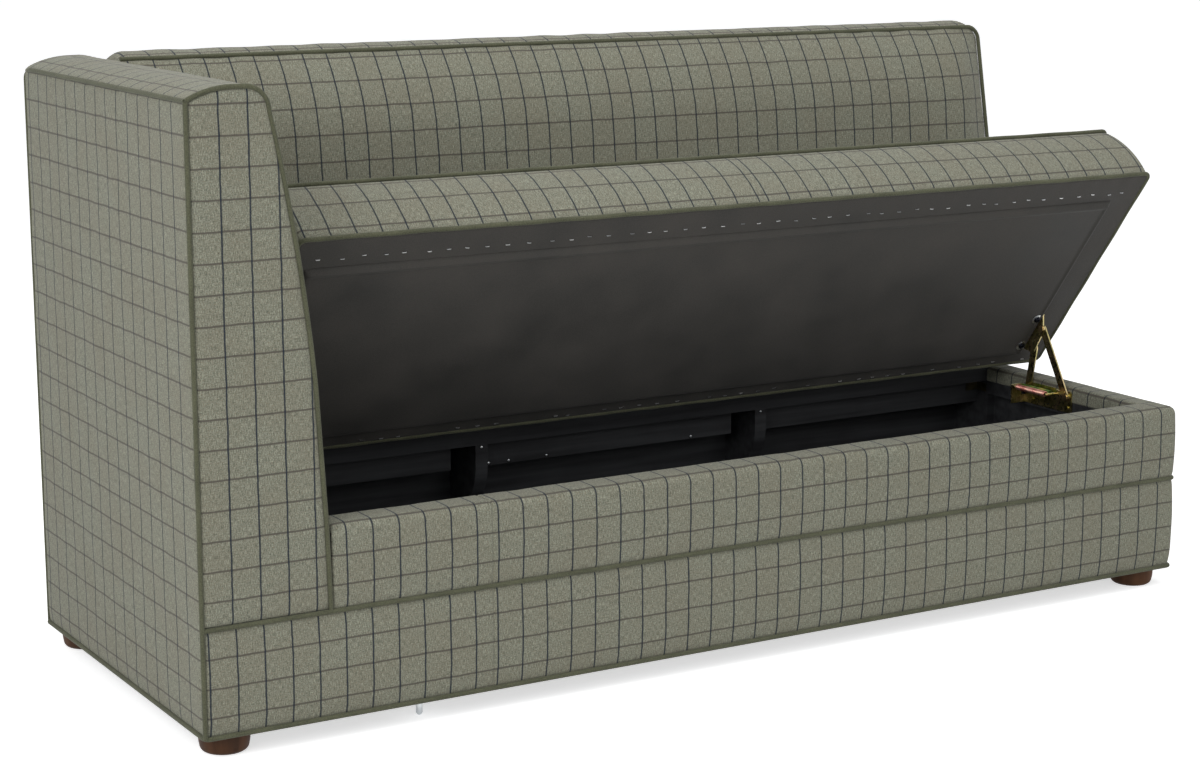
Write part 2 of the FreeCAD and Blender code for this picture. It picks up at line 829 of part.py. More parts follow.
def lid_pipe_paths():
    """Round the seat's bottom edge and round its top edge, where the boxing is set back."""
    low = ring_path(lid_left - pipe_inset / 2, lid_right - pipe_inset, lid_front - pipe_inset / 2, lid_rear,
                    lid_bottom + piping_radius - lid_piping_hang, lid_corner_radius)
    top = ring_path(lid_left + pipe_room, lid_right - pipe_room, lid_front + lid_top_setback - pipe_inset,
                    lid_rear - lid_rear_setback, lid_bottom + lid_thickness, lid_corner_radius)
    return low, top


def make_lid():
    """The lift-up seat: ply board, cushion, black border and dust panel, and two runs of piping."""
    stations = (
        (0.0, lid_end_draw, lid_edge_crown), (lid_end_run, 0.0, lid_end_crown),
        (lid_crown_run, 0.0, lid_crown),
    )
    sections = [lid_section(lid_left + s, draw, crown) for s, draw, crown in stations]
    sections += [lid_section(lid_right - s, draw, crown) for s, draw, crown in reversed(stations)]
    cushion = Part.makeLoft(sections, True, True)
    reach = lid_front_bulge
    plan = ring_path(lid_left - reach, lid_right + reach, lid_front - reach, lid_rear + reach,
                     lid_bottom, lid_plan_radius)
    limit = Part.Face(Part.Wire(plan)).extrude(V(0, 0, lid_thickness + 2 * lid_crown))
    board_z0 = lid_bottom + border_thickness
    board_z1 = board_z0 + lid_board_thickness
    gap = lid_board_clearance
    under = lid_bottom - dust_panel_thickness
    board = lid_plan_block(lid_board_inset, board_z0, board_z1)
    pocket = lid_plan_block(lid_board_inset - gap, lid_bottom, board_z1 + gap)
    border = lid_plan_block(border_inset, lid_bottom, board_z0)
    x0 = lid_left + dust_panel_left_inset
    x1 = lid_right - dust_panel_right_inset
    y0 = lid_front + dust_panel_front_inset
    y1 = lid_rear - dust_panel_rear_inset
    opening = block(x0, x1, y0, y1, lid_bottom, board_z0)
    panel = block(x0 + gap, x1 - gap, y0 + gap, y1 - gap, under, board_z0)
    rim = [e for e in panel.Edges if e.BoundBox.ZMax < under + gap]
    panel = panel.makeChamfer(dust_panel_edge, rim)
    for x, y in lid_bolt_spots():
        panel = panel.cut(stud(V(x, y, under), V(x, y, board_z0), bolt_radius + seam_clearance))
    low, top = lid_pipe_paths()
    cushion = cushion.common(limit).cut(pocket).cut(cord(low, pipe_room)).cut(cord(top, pipe_room))
    return {
        "lid_cushion": largest(cushion),
        "lid_board": board,
        "lid_border": border.cut(opening),
        "lid_dust_panel": panel,
        "lid_bottom_piping": cord(low, piping_radius),
        "lid_top_piping": cord(top, piping_radius),
    }


def lid_plan_block(inset, z0, z1):
    """A block of the seat's plan, drawn in by an inset all round."""
    return block(lid_left + inset, lid_right - inset, lid_front + inset, lid_rear - inset, z0, z1)


# Hinges

def layer(index):
    """Distances from the wall to the near and far side of one sheet layer of the hinge."""
    near = seam_clearance + index * (plate_thickness + link_gap)
    return near, near + plate_thickness


# Lid bolts, from the seat's rear edge and from the wall
lid_bolt_reaches = (lid_rear_pivot_reach - 2 * rivet_radius, lid_front_pivot_reach + 4 * rivet_radius)
bolt_line = layer(3)[1] + lid_plate_width / 2


def strap(start, end, near, far):
    """A flat link with round ends, lying between two distances from the wall."""
    half = link_width / 2
    along = math.degrees(math.atan2(end[1] - start[1], end[0] - start[0]))
    return slab(
        "yz", near, far - near,
        on_circle(start, half, along + 90),
        (on_circle(start, half, along + 180), on_circle(start, half, along - 90)),
        on_circle(end, half, along - 90),
        (on_circle(end, half, along), on_circle(end, half, along + 90)),
    )


def drilled(shape, spots, radius):
    """A sheet piece with a round hole through it at each spot."""
    for y, z in spots:
        shape = shape.cut(rod(V(0, y, z), V(lid_plate_width, y, z), radius))
    return shape


def rivet(spot, near, far, collar, head):
    """A rivet between two distances from the wall, with an optional spacer collar and far head."""
    y, z = spot
    shape = rod(V(near, y, z), V(far, y, z), rivet_radius - rivet_clearance)
    if collar:
        shape = shape.fuse(stud(V(collar[0], y, z), V(collar[1], y, z), rivet_head_radius))
    if head:
        shape = shape.fuse(stud(V(far, y, z), V(far + rivet_head_height, y, z), rivet_head_radius))
    return shape.removeSplitter()


def spring(tail, anchor, from_wall):
    """A close assist spring: its wound body, and a straight end of wire under each pin that holds it."""
    way = V(0, anchor[0] - tail[0], anchor[1] - tail[1])
    side = V(1, 0, 0)
    low = way.cross(side).normalize() * spring_coil_radius
    start = V(from_wall, *tail)
    end = V(from_wall, *anchor)
    way = way.normalize()
    wound_from = way * (spring_pin_radius + 2 * spring_wire_radius)
    body = stud(start + wound_from, end - wound_from, spring_coil_radius + spring_wire_radius)
    past = way * spring_pin_radius
    wire = stud(start + low - past, end + low + past, spring_wire_radius)
    return body.fuse(wire).removeSplitter()


def hinge_base(screw_spots):
    """The hinge's base bracket: a plate on the wall, a rear ear and the bar that holds the springs."""
    web = layer(0)
    inner = layer(3)[1] + link_gap
    eye = link_width / 2
    plate_top = max(rear_pivot[1], front_pivot[1]) + eye
    plate_bottom = plate_top - bracket_height
    plate_front = front_pivot[0] - bracket_margin
    plate_rear = rear_pivot[0] + bracket_margin
    cut = bracket_corner
    plate = slab("yz", web[0], plate_thickness,
                 (plate_front, plate_bottom), (plate_rear, plate_bottom), (plate_rear, plate_top - cut),
                 (plate_rear - cut, plate_top), (plate_front + cut, plate_top),
                 (plate_front, plate_top - cut))
    ear_inner = inner + 2 * spring_spacing
    ear_low = min(rear_pivot[1], front_pivot[1]) - link_width
    anchor = spring_anchor()
    ear_top = anchor[1] + spring_pin_radius + spring_ear_cover
    ear = slab("xz", plate_rear, plate_thickness,
               (web[0], plate_bottom), (web[0], ear_low), (inner, ear_low), (inner, ear_top),
               (ear_inner, ear_top), (ear_inner, plate_bottom))
    bar = stud(V(inner - seam_clearance, *anchor), V(ear_inner, *anchor), spring_pin_radius)
    strut = block(ear_inner - plate_thickness, ear_inner, anchor[0], plate_rear,
                  anchor[1] - spring_pin_radius, anchor[1] + spring_pin_radius)
    foot = block(web[0], web[1], plate_rear, plate_rear + plate_thickness, plate_bottom, ear_low)
    base = plate.fuse([ear, bar, strut, foot]).removeSplitter()
    base = drilled(base, [rear_pivot, front_pivot], rivet_radius)
    for y, z in screw_spots:
        base = base.cut(stud(V(web[0], y, z), V(web[1], y, z), screw_radius + rivet_clearance))
    return base


def spring_tail():
    """Place of the pin on the front link's tail, with the seat open."""
    return (front_pivot[0] + spring_pin_reach, front_pivot[1] + spring_height)


def spring_anchor():
    """Place of the bar that holds the rear ends of the springs."""
    return (rear_pivot[0] + bracket_margin - spring_ear_gap, front_pivot[1] + spring_height)


def make_hinge():
    """One lift hinge, with x counted from the wall that it is screwed to, towards the seat's middle."""
    web = layer(0)
    rear_layer = layer(1)
    front_layer = layer(2)
    flange = layer(3)
    screw_z = max(rear_pivot[1], front_pivot[1]) + link_width / 2 - bracket_height + screw_rise
    screw_spots = [(front_pivot[0], screw_z), (rear_pivot[0] - bracket_margin, screw_z)]
    spring_xs = [flange[1] + link_gap + spring_spacing * (n + 0.5) for n in range(2)]
    tail = spring_tail()
    rear_link = drilled(strap(rear_pivot, lid_rear_pivot, *rear_layer), [rear_pivot], rivet_radius)
    open_stud = stud(V(rear_layer[1], *lid_rear_pivot), V(flange[0] - link_gap, *lid_rear_pivot),
                     rivet_radius)
    front_strap = strap(front_pivot, lid_front_pivot, *front_layer)
    tail_strap = strap(front_pivot, tail, *front_layer)
    front_link = drilled(front_strap.fuse(tail_strap).removeSplitter(), [front_pivot, lid_front_pivot],
                         rivet_radius)
    tail_pin_end = spring_xs[1] + spring_coil_radius + spring_wire_radius
    tail_pin = stud(V(front_layer[1], *tail), V(tail_pin_end, *tail), spring_pin_radius)
    collar = (web[1] + rivet_clearance, front_layer[0] - rivet_clearance)
    return {
        "base_bracket": hinge_base(screw_spots),
        "rear_link": rear_link.fuse(open_stud),
        "front_link": front_link.fuse(tail_pin),
        "lid_bracket": make_lid_bracket(),
        "assist_springs": Part.makeCompound([spring(tail, spring_anchor(), x) for x in spring_xs]),
        "base_rivets": Part.makeCompound([
            rivet(rear_pivot, web[0], rear_layer[1], None, False),
            rivet(front_pivot, web[0], front_layer[1], collar, True),
        ]),
        "lid_rivets": rivet(lid_front_pivot, front_layer[0], flange[1], None, True),
        "base_screws": Part.makeCompound([wall_screw(spot) for spot in screw_spots]),
        "lid_bolts": Part.makeCompound([lid_bolt(reach) for reach in lid_bolt_reaches]),
    }


def wall_screw(spot):
    """A pan-head screw through the base plate into the wall."""
    y, z = spot
    outer = layer(0)[1]
    shank = stud(V(outer - screw_length, y, z), V(outer, y, z), screw_radius)
    head = stud(V(outer, y, z), V(outer + screw_head_height, y, z), screw_head_radius)
    return shank.fuse(head).removeSplitter()


def lid_bolt_spots():
    """Plan places of all lid bolts under the closed seat."""
    walls = (left_wall_inner + bolt_line, hinge_wall_right - bolt_line)
    return [(x, lid_rear - reach) for x in walls for reach in lid_bolt_reaches]


def lid_bolt(reach):
    """A bolt with its washer, up through the lid plate and the dust panel into the seat board."""
    x = bolt_line
    y = lid_rear - reach
    plate = lid_bottom - dust_panel_thickness - plate_thickness
    seat = plate - washer_thickness
    rim = seat - bolt_head_height + bolt_crown_height
    washer = stud(V(x, y, plate), V(x, y, seat), washer_radius)
    head = stud(V(x, y, seat), V(x, y, rim), bolt_head_radius)
    crown = stud(V(x, y, rim), V(x, y, rim - bolt_crown_height), bolt_crown_radius)
    shank = stud(V(x, y, plate), V(x, y, lid_bottom + border_thickness + lid_board_thickness), bolt_radius)
    return opened(washer.fuse([head, crown, shank]).removeSplitter())


def make_lid_bracket():
    """The lid's angle plate: a foot bolted to the underside and a tapering flange with both pivots."""
    flange = layer(3)
    level = lid_bottom - dust_panel_thickness
    foot_y0 = lid_rear - lid_bolt_reaches[1] - bracket_margin
    foot_y1 = lid_rear - lid_bolt_reaches[0] + bracket_margin
    eye = link_width / 2
    front_spot = (lid_rear - lid_front_pivot_reach, lid_bottom - lid_front_pivot_drop)
    rear_spot = (lid_rear - lid_rear_pivot_reach, lid_bottom - lid_rear_pivot_drop)
    foot = block(flange[0], flange[1] + lid_plate_width, foot_y0, foot_y1, level - plate_thickness, level)
    side = slab("yz", flange[0], plate_thickness,
                (foot_y0, level), on_circle(front_spot, eye, 180),
                (on_circle(front_spot, eye, 225), on_circle(front_spot, eye, 270)),
                on_circle(rear_spot, eye, 270),
                (on_circle(rear_spot, eye, 315), on_circle(rear_spot, eye, 0)),
                (foot_y1, level))
    bracket = drilled(side, [front_spot], rivet_radius).fuse(foot).removeSplitter()
    for reach in lid_bolt_reaches:
        top = V(bolt_line, lid_rear - reach, level)
        bracket = bracket.cut(stud(top - V(0, 0, plate_thickness), top, bolt_radius + seam_clearance))
    return opened(bracket)


def make_hinges():
    """The right hinge and its mirror image on the left, and their shared fastener groups."""
    pieces = make_hinge()
    singles = ("base_bracket", "rear_link", "front_link", "lid_bracket")
    nodes = {}
    for name, shape in pieces.items():
        right_one = shape.mirror(V(0, 0, 0), V(1, 0, 0))
        right_one.translate(V(hinge_wall_right, 0, 0))
        left_one = shape.copy()
        left_one.translate(V(left_wall_inner, 0, 0))
        if name in singles:
            nodes[f"{name}_right"] = right_one
            nodes[f"{name}_left"] = left_one
        else:
            nodes[name] = Part.makeCompound(right_one.Solids + left_one.Solids)
    return nodes


def make_corner_bracket():
    """A small steel angle in the rear right corner of the box, on the lower rail and the corner post."""
    z1 = ledge_bottom - corner_bracket_drop
    z0 = z1 - corner_bracket_height
    x1 = right_batten_inner
    y1 = lower_rail_face
    along_rail = block(x1 - corner_bracket_leg, x1, y1 - corner_bracket_sheet, y1, z0, z1)
    along_wall = block(x1 - corner_bracket_sheet, x1, y1 - corner_bracket_leg, y1, z0, z1)
    return {"corner_bracket": along_rail.fuse(along_wall).removeSplitter()}


def main():
    """Makes every piece and writes each to its own file."""
    os.makedirs("parts", exist_ok=True)
    nodes = {}
    for make in (make_carcass, make_bands, make_base_piping, make_feet, make_arm, make_arm_piping, make_back,
                 make_lid, make_hinges, make_corner_bracket):
        made = make()
        if make is make_lid:
            made = {name: opened(shape) for name, shape in made.items()}
        nodes.update(made)
    bench_middle = V(-overall_width / 2, -overall_depth / 2, 0)
    for name, shape in nodes.items():
        shape.translate(bench_middle)
        shape.exportStep(f"parts/{name}.step")
    shift = (overall_width / 2, overall_depth / 2)
    for label, spot in (("rear_pivot", rear_pivot), ("front_pivot", front_pivot),
                        ("lid_rear_pivot", lid_rear_pivot), ("lid_front_pivot", lid_front_pivot)):
        print(label, round(spot[0] - shift[1], 4), round(spot[1], 4))
    print(len(nodes), "pieces")


main()
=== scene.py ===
"""Corner storage banquette: its upholstery, trim and finishes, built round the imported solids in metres."""

import logging
import math
from collections.abc import Sequence
from dataclasses import dataclass, field
from enum import Enum

import bmesh
import bpy
import numpy as np
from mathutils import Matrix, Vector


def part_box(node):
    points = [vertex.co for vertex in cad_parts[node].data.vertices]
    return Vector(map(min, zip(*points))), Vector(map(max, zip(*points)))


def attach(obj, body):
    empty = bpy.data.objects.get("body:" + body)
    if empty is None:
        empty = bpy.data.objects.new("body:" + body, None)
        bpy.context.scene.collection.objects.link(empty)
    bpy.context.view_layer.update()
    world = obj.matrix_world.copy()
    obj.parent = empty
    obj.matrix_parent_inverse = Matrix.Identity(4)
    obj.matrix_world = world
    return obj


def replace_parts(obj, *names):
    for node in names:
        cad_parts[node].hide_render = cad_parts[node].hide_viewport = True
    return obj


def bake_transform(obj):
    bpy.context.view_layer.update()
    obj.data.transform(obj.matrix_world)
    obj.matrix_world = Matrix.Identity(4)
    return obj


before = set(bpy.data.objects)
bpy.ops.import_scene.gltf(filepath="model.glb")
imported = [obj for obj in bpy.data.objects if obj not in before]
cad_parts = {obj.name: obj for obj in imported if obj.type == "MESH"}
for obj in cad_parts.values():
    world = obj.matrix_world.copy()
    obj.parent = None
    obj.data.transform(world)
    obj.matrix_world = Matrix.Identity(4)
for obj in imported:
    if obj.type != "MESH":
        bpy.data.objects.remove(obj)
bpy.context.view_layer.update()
LOG = logging.getLogger("banquette")
Array = np.ndarray
Socket = bpy.types.NodeSocket
Pair = tuple[float, float]
Triple = tuple[float, float, float]
Rgba = tuple[float, float, float, float]
UPWARD: Triple = (0.0, 0.0, 1.0)
WHITE: Rgba = (1.0, 1.0, 1.0, 1.0)


# Curves and grids

class Facing(Enum):
    """The side that a stuffed panel swells towards."""

    LEFT = (-1.0, 0.0, 0.0)
    RIGHT = (1.0, 0.0, 0.0)
    FRONT = (0.0, -1.0, 0.0)
    REAR = (0.0, 1.0, 0.0)
    UP = (0.0, 0.0, 1.0)
    DOWN = (0.0, 0.0, -1.0)


@dataclass
class Patch:
    """A grid of points and the place of each on its cloth, in repeats of the check or in metres."""

    points: Array
    cloth: Array


def grid(*parts: Array | float) -> Array:
    """Coordinates stretched to one shape and set side by side, the coordinate last."""
    return np.stack(np.broadcast_arrays(*parts), axis=-1)


def unit(vectors: Array) -> Array:
    """Vectors scaled to length one."""
    return vectors / np.maximum(np.linalg.norm(vectors, axis=-1, keepdims=True), 1e-12)


def rightward(line: Array) -> Array:
    """Unit normals of a flat line, to the right of its heading."""
    heading = unit(np.gradient(line, axis=0))
    return grid(heading[:, 1], -heading[:, 0])


def walked(points: Array, axis: int = 0) -> Array:
    """Distance walked along one axis of a grid of points: the running sum of its steps.

    Args:
        points: grid of points, coordinates last.
        axis: the axis to walk along.

    Returns:
        A grid of distances that starts from zero.
    """
    steps = np.linalg.norm(np.diff(points, axis=axis), axis=-1)
    pad = [(0, 0)] * steps.ndim
    pad[axis] = (1, 0)
    return np.cumsum(np.pad(steps, pad), axis=axis)


def along(points: Array, fractions: Array) -> Array:
    """Points at given fractions, from 0 to 1, of a line's length."""
    distance = walked(points)
    return np.stack([np.interp(fractions * distance[-1], distance, part) for part in points.T], axis=1)


def arc_through(start: Pair, middle: Pair, end: Pair, count: int = 24) -> Array:
    """Even points on the circle through three points of a plane.

    The centre is equally far from all three, which gives two linear equations, and the angle runs evenly
    from the first point past the second to the third.

    Args:
        start: first point.
        middle: a point the arc passes.
        end: last point.
        count: number of points.

    Returns:
        The points, one a row.
    """
    knots = np.array([start, middle, end], float)
    squares = np.sum(knots ** 2, axis=1)
    centre = np.linalg.solve(2.0 * (knots[1:] - knots[0]), squares[1:] - squares[0])
    spokes = knots - centre
    turn = np.unwrap(np.arctan2(spokes[:, 1], spokes[:, 0]))
    angle = np.linspace(turn[0], turn[2], count)
    return centre + np.hypot(*spokes[0]) * grid(np.cos(angle), np.sin(angle))


def quarter(centre: Pair, radius: float, start: float, end: float, count: int) -> Array:
    """Even points on a circle in a plane, between two angles in degrees."""
    angle = np.radians(np.linspace(start, end, count))
    return np.array(centre) + radius * grid(np.cos(angle), np.sin(angle))


def joined(*runs: Array | Sequence[Sequence[float]]) -> Array:
    """Runs of points end to end, a point that repeats the one before it left out."""
    line = np.vstack([np.asarray(run, float) for run in runs])
    return line[np.append(True, np.linalg.norm(np.diff(line, axis=0), axis=1) > 1e-7)]


def eased(count: int) -> Array:
    """Fractions from 0 to 1 that crowd towards both ends: half of one less a cosine."""
    return 0.5 - 0.5 * np.cos(np.linspace(0.0, math.pi, count))


def spread(low: Array | float, high: Array | float, count: int) -> Array:
    """Places from a low limit to a high one that crowd towards both."""
    return low + (high - low) * eased(count)


def bow(count: int) -> Array:
    """One bow of a sine over eased places: nothing at both ends and one in the middle."""
    return np.sin(math.pi * eased(count))


def bell(distance: Array, width: float) -> Array:
    """A bell curve: one at no distance, gone within a few widths."""
    return np.exp(-(distance / width) ** 2)


def rounded_run(corners: Sequence[Triple], radii: Sequence[float], step: float = 0.012) -> Array:
    """A line through corners with each inner corner turned on a circle.

    The circle touches both runs at the radius times the tangent of half the turn from the corner.

    Args:
        corners: the line's corners in space.
        radii: the radius at each inner corner.
        step: spacing of points on the straight runs.

    Returns:
        The points of the line.
    """
    knots = np.array(corners, float)
    runs = [knots[:1]]
    for before, corner, after, radius in zip(knots, knots[1:], knots[2:], radii):
        ahead, onward = unit(corner - before), unit(after - corner)
        turn = math.acos(float(np.clip(ahead @ onward, -1.0, 1.0)))
        inward = unit(onward - (onward @ ahead) * ahead)
        entry = corner - ahead * radius * math.tan(turn / 2)
        angle = np.linspace(0.0, turn, 12)[:, None]
        runs.append(entry + radius * (inward * (1.0 - np.cos(angle)) + ahead * np.sin(angle)))
    runs.append(knots[-1:])
    line = joined(*runs)
    gaps = np.linalg.norm(np.diff(line, axis=0), axis=1)
    places = [np.linspace(i, i + 1, max(int(gap / step), 1), endpoint=False) for i, gap in enumerate(gaps)]
    index = np.append(np.concatenate(places), len(line) - 1.0)
    return np.stack([np.interp(index, np.arange(len(line)), part) for part in line.T], axis=1)


def ring(limits: Sequence[Array | float], radius: float, counts: tuple[int, int, int]) -> Array:
    """A rounded rectangle that starts and ends in the middle of its far side, once for each set of limits.

    Args:
        limits: low x, high x, low y (the near side) and high y (the far side).
        radius: corner radius.
        counts: points on a long side, on a corner and on a short side.

    Returns:
        A grid of x and y, one ring a row, the last point the same as the first.
    """
    x0, x1, y0, y1 = (np.atleast_1d(np.asarray(limit, float))[:, None] for limit in limits)
    half, side = eased(counts[0])[None], eased(counts[2])[None]
    angle = np.linspace(0.0, math.pi / 2, counts[1])[None]
    sine, cosine = radius * np.sin(angle), radius * np.cos(angle)
    left, right, near, far = x0 + radius, x1 - radius, y0 + radius, y1 - radius
    middle = (x0 + x1) / 2
    runs = (
        (middle + (left - middle) * half, y1), (left - sine, far + cosine), (x0, far + (near - far) * side),
        (left - cosine, near - sine), (left + (right - left) * half, y0), (right + sine, near - cosine),
        (x1, near + (far - near) * side), (right + cosine, far + sine), (right + (middle - right) * half, y1),
    )
    return np.concatenate([grid(x, y) for x, y in runs], axis=1)


def coons(low: Array, high: Array, start: Array, end: Array) -> Array:
    """The surface between four edges: its two ruled surfaces added, less the one through the corners.

    Args:
        low: edge at the bottom, from start to end.
        high: edge at the top, from start to end.
        start: edge at the start, from low to high.
        end: edge at the end, from low to high.

    Returns:
        A grid of points, rows from low to high.
    """
    t = (walked(start) / walked(start)[-1])[:, None, None]
    s = (walked(low) / walked(low)[-1])[None, :, None]
    ruled = (1 - t) * low[None] + t * high[None] + (1 - s) * start[:, None] + s * end[:, None]
    corners = (1 - t) * ((1 - s) * low[0] + s * low[-1]) + t * ((1 - s) * high[0] + s * high[-1])
    return ruled - corners


def rolled(distance: Array, radius: float) -> Array:
    """Height of a rounded edge: a quarter circle over the radius, then level at one."""
    return np.sqrt(1.0 - (1.0 - np.clip(distance / radius, 0.0, 1.0)) ** 2)


def uneven(cloth: Array, amount: float, seed: int) -> Array:
    """Slow unevenness of stuffed cloth: twice the mean of nine sine waves with seeded headings and phases.

    Args:
        cloth: places on the cloth, in repeats.
        amount: height of the waves.
        seed: fixes the waves.

    Returns:
        A height for each place.
    """
    dice = np.random.default_rng(seed)
    waves = dice.uniform(-0.6, 0.6, (2, 9))
    phases = dice.uniform(0.0, 2 * math.pi, 9)
    return amount * np.mean(np.sin(2 * math.pi * (cloth @ waves) + phases), axis=-1) * 2.0


@dataclass(frozen=True)
class SeamRolls:
    """Radii over which a panel rolls in to the seams at its four edges."""

    low: float = 0.012
    high: float = 0.012
    start: float = 0.012
    end: float = 0.012

    def rise(self, base: Array) -> Array:
        """Share of the full height at each point: the product of four rounded edges.

        Args:
            base: grid of points on the seam surface.

        Returns:
            A share for each point.
        """
        rows, columns = walked(base, 0), walked(base, 1)
        return (
            rolled(rows, self.low) * rolled(rows[-1:] - rows, self.high)
            * rolled(columns, self.start) * rolled(columns[:, -1:] - columns, self.end)
        )


def stuffed(base: Array, cloth: Array, swell: Array, rolls: SeamRolls, facing: Facing,
            backing: float = 0.004) -> list[Patch]:
    """A closed padded panel: a base moved out by its swell, and a back moved in, joined at the seams.

    Both move along the grid's normals, which the cross product of its two directions gives.

    Args:
        base: grid of points on the seam surface.
        cloth: place of each point on the cloth.
        swell: height of the stuffing at each point, away from the seams.
        rolls: how it comes down to nothing at the seams.
        facing: the side that swells.
        backing: depth of the back behind the seam surface.

    Returns:
        The face and the back.
    """
    normal = unit(np.cross(np.gradient(base, axis=1), np.gradient(base, axis=0)))
    normal *= np.sign(np.sum(normal * np.array(facing.value), axis=-1).mean())
    rise, depth = rolls.rise(base) * swell, backing * SeamRolls().rise(base)
    return [
        Patch(base + normal * rise[..., None], cloth),
        Patch((base - normal * depth[..., None])[:, ::-1], cloth[:, ::-1]),
    ]


def tube(path: Array, outward: Array | Triple, radius: float, sides: int = 14, closed: bool = False) -> Patch:
    """A round section carried along a path.

    The section's first axis is the outward direction less its part along the path, and its second axis is
    square to both, so the section doesn't twist.

    Args:
        path: points along the middle.
        outward: a direction for each point, or one for all.
        radius: the section's radius.
        sides: sides of the section.
        closed: whether the path runs round to its start; if not, both ends are closed with a point.

    Returns:
        The surface, its cloth places in metres along the path and round the section.
    """
    tangent = unit(np.gradient(path, axis=0))
    outward = np.broadcast_to(np.asarray(outward, float), path.shape)
    first = unit(outward - np.sum(outward * tangent, axis=1, keepdims=True) * tangent)
    second = np.cross(tangent, first)
    angle = np.linspace(0.0, 2 * math.pi, sides + 1)[None, :, None]
    points = path[:, None] + radius * (first[:, None] * np.cos(angle) + second[:, None] * np.sin(angle))
    cloth = grid(walked(path)[:, None], radius * angle[..., 0])
    if not closed:
        cap = np.ones((1, sides + 1, 1))
        points = np.concatenate([path[:1, None] * cap, points, path[-1:, None] * cap])
        cloth = np.concatenate([cloth[:1], cloth, cloth[-1:]])
    return Patch(points, cloth)


def turned(profile: Array, centre: Sequence[float], axis: Sequence[float] = UPWARD, sides: int = 40) -> Patch:
    """A profile of radius and height turned about a line square to the x axis.

    A point is the centre, plus its height along the line, plus its radius times the cosine of the turn along
    x and the sine of it square to both.

    Args:
        profile: radius and height, one a row.
        centre: the point of the line from which heights count.
        axis: the line's direction.
        sides: steps round the line.

    Returns:
        The surface.
    """
    angle = np.linspace(0.0, 2 * math.pi, sides + 1)[None, :, None]
    radius, height = profile[:, :1, None], profile[:, 1:, None]
    across = np.array([1.0, 0.0, 0.0])
    spokes = np.cos(angle) * across + np.sin(angle) * np.cross(axis, across)
    points = np.asarray(centre) + height * np.asarray(axis) + radius * spokes
    return Patch(points, grid(angle[..., 0], height[..., 0]))


def node_points(name: str) -> Array:
    """The corners of a CAD solid's mesh.

    Args:
        name: the solid's node.

    Returns:
        The corners, one a row.
    """
    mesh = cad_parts[name].data
    points = np.empty(len(mesh.vertices) * 3)
    mesh.vertices.foreach_get("co", points)
    return points.reshape(-1, 3)


# Finishes

def tone(red: float, green: float, blue: float) -> Rgba:
    """A display colour, its parts from 0 to 255, as the linear values a shader takes."""
    part = np.array([red, green, blue]) / 255.0
    return (*np.where(part <= 0.04045, part / 12.92, ((part + 0.055) / 1.055) ** 2.4).tolist(), 1.0)


class Nodes:
    """A tree of shader nodes, with short ways to add and join them."""

    def __init__(self, tree: bpy.types.NodeTree) -> None:
        """Start with an empty tree."""
        self.tree = tree
        tree.nodes.clear()

    def add(self, kind: str, inputs: dict | None = None, **settings: object) -> bpy.types.Node:
        """Add a node with its settings, and feed its inputs.

        Args:
            kind: the node's type.
            inputs: a value or a socket for each input, by name or number.
            **settings: the node's own settings.

        Returns:
            The node.
        """
        node = self.tree.nodes.new(kind)
        for key, value in settings.items():
            setattr(node, key, value)
        for key, value in (inputs or {}).items():
            self.feed(node.inputs[key], value)
        return node

    def feed(self, socket: Socket, value: object) -> None:
        """Link a socket to another, or set its value.

        Args:
            socket: the input to feed.
            value: the other socket, or the value.
        """
        if isinstance(value, Socket):
            self.tree.links.new(value, socket)
        else:
            socket.default_value = value

    def sums(self, operation: str, first: object, second: object = 0.0) -> Socket:
        """One step of arithmetic."""
        return self.add("ShaderNodeMath", {0: first, 1: second}, operation=operation).outputs[0]

    def watched(self) -> Socket:
        """One for the eye and for reflections, nothing for soft light."""
        rays = self.add("ShaderNodeLightPath").outputs
        return self.sums("MAXIMUM", rays["Is Camera Ray"], rays["Is Glossy Ray"])


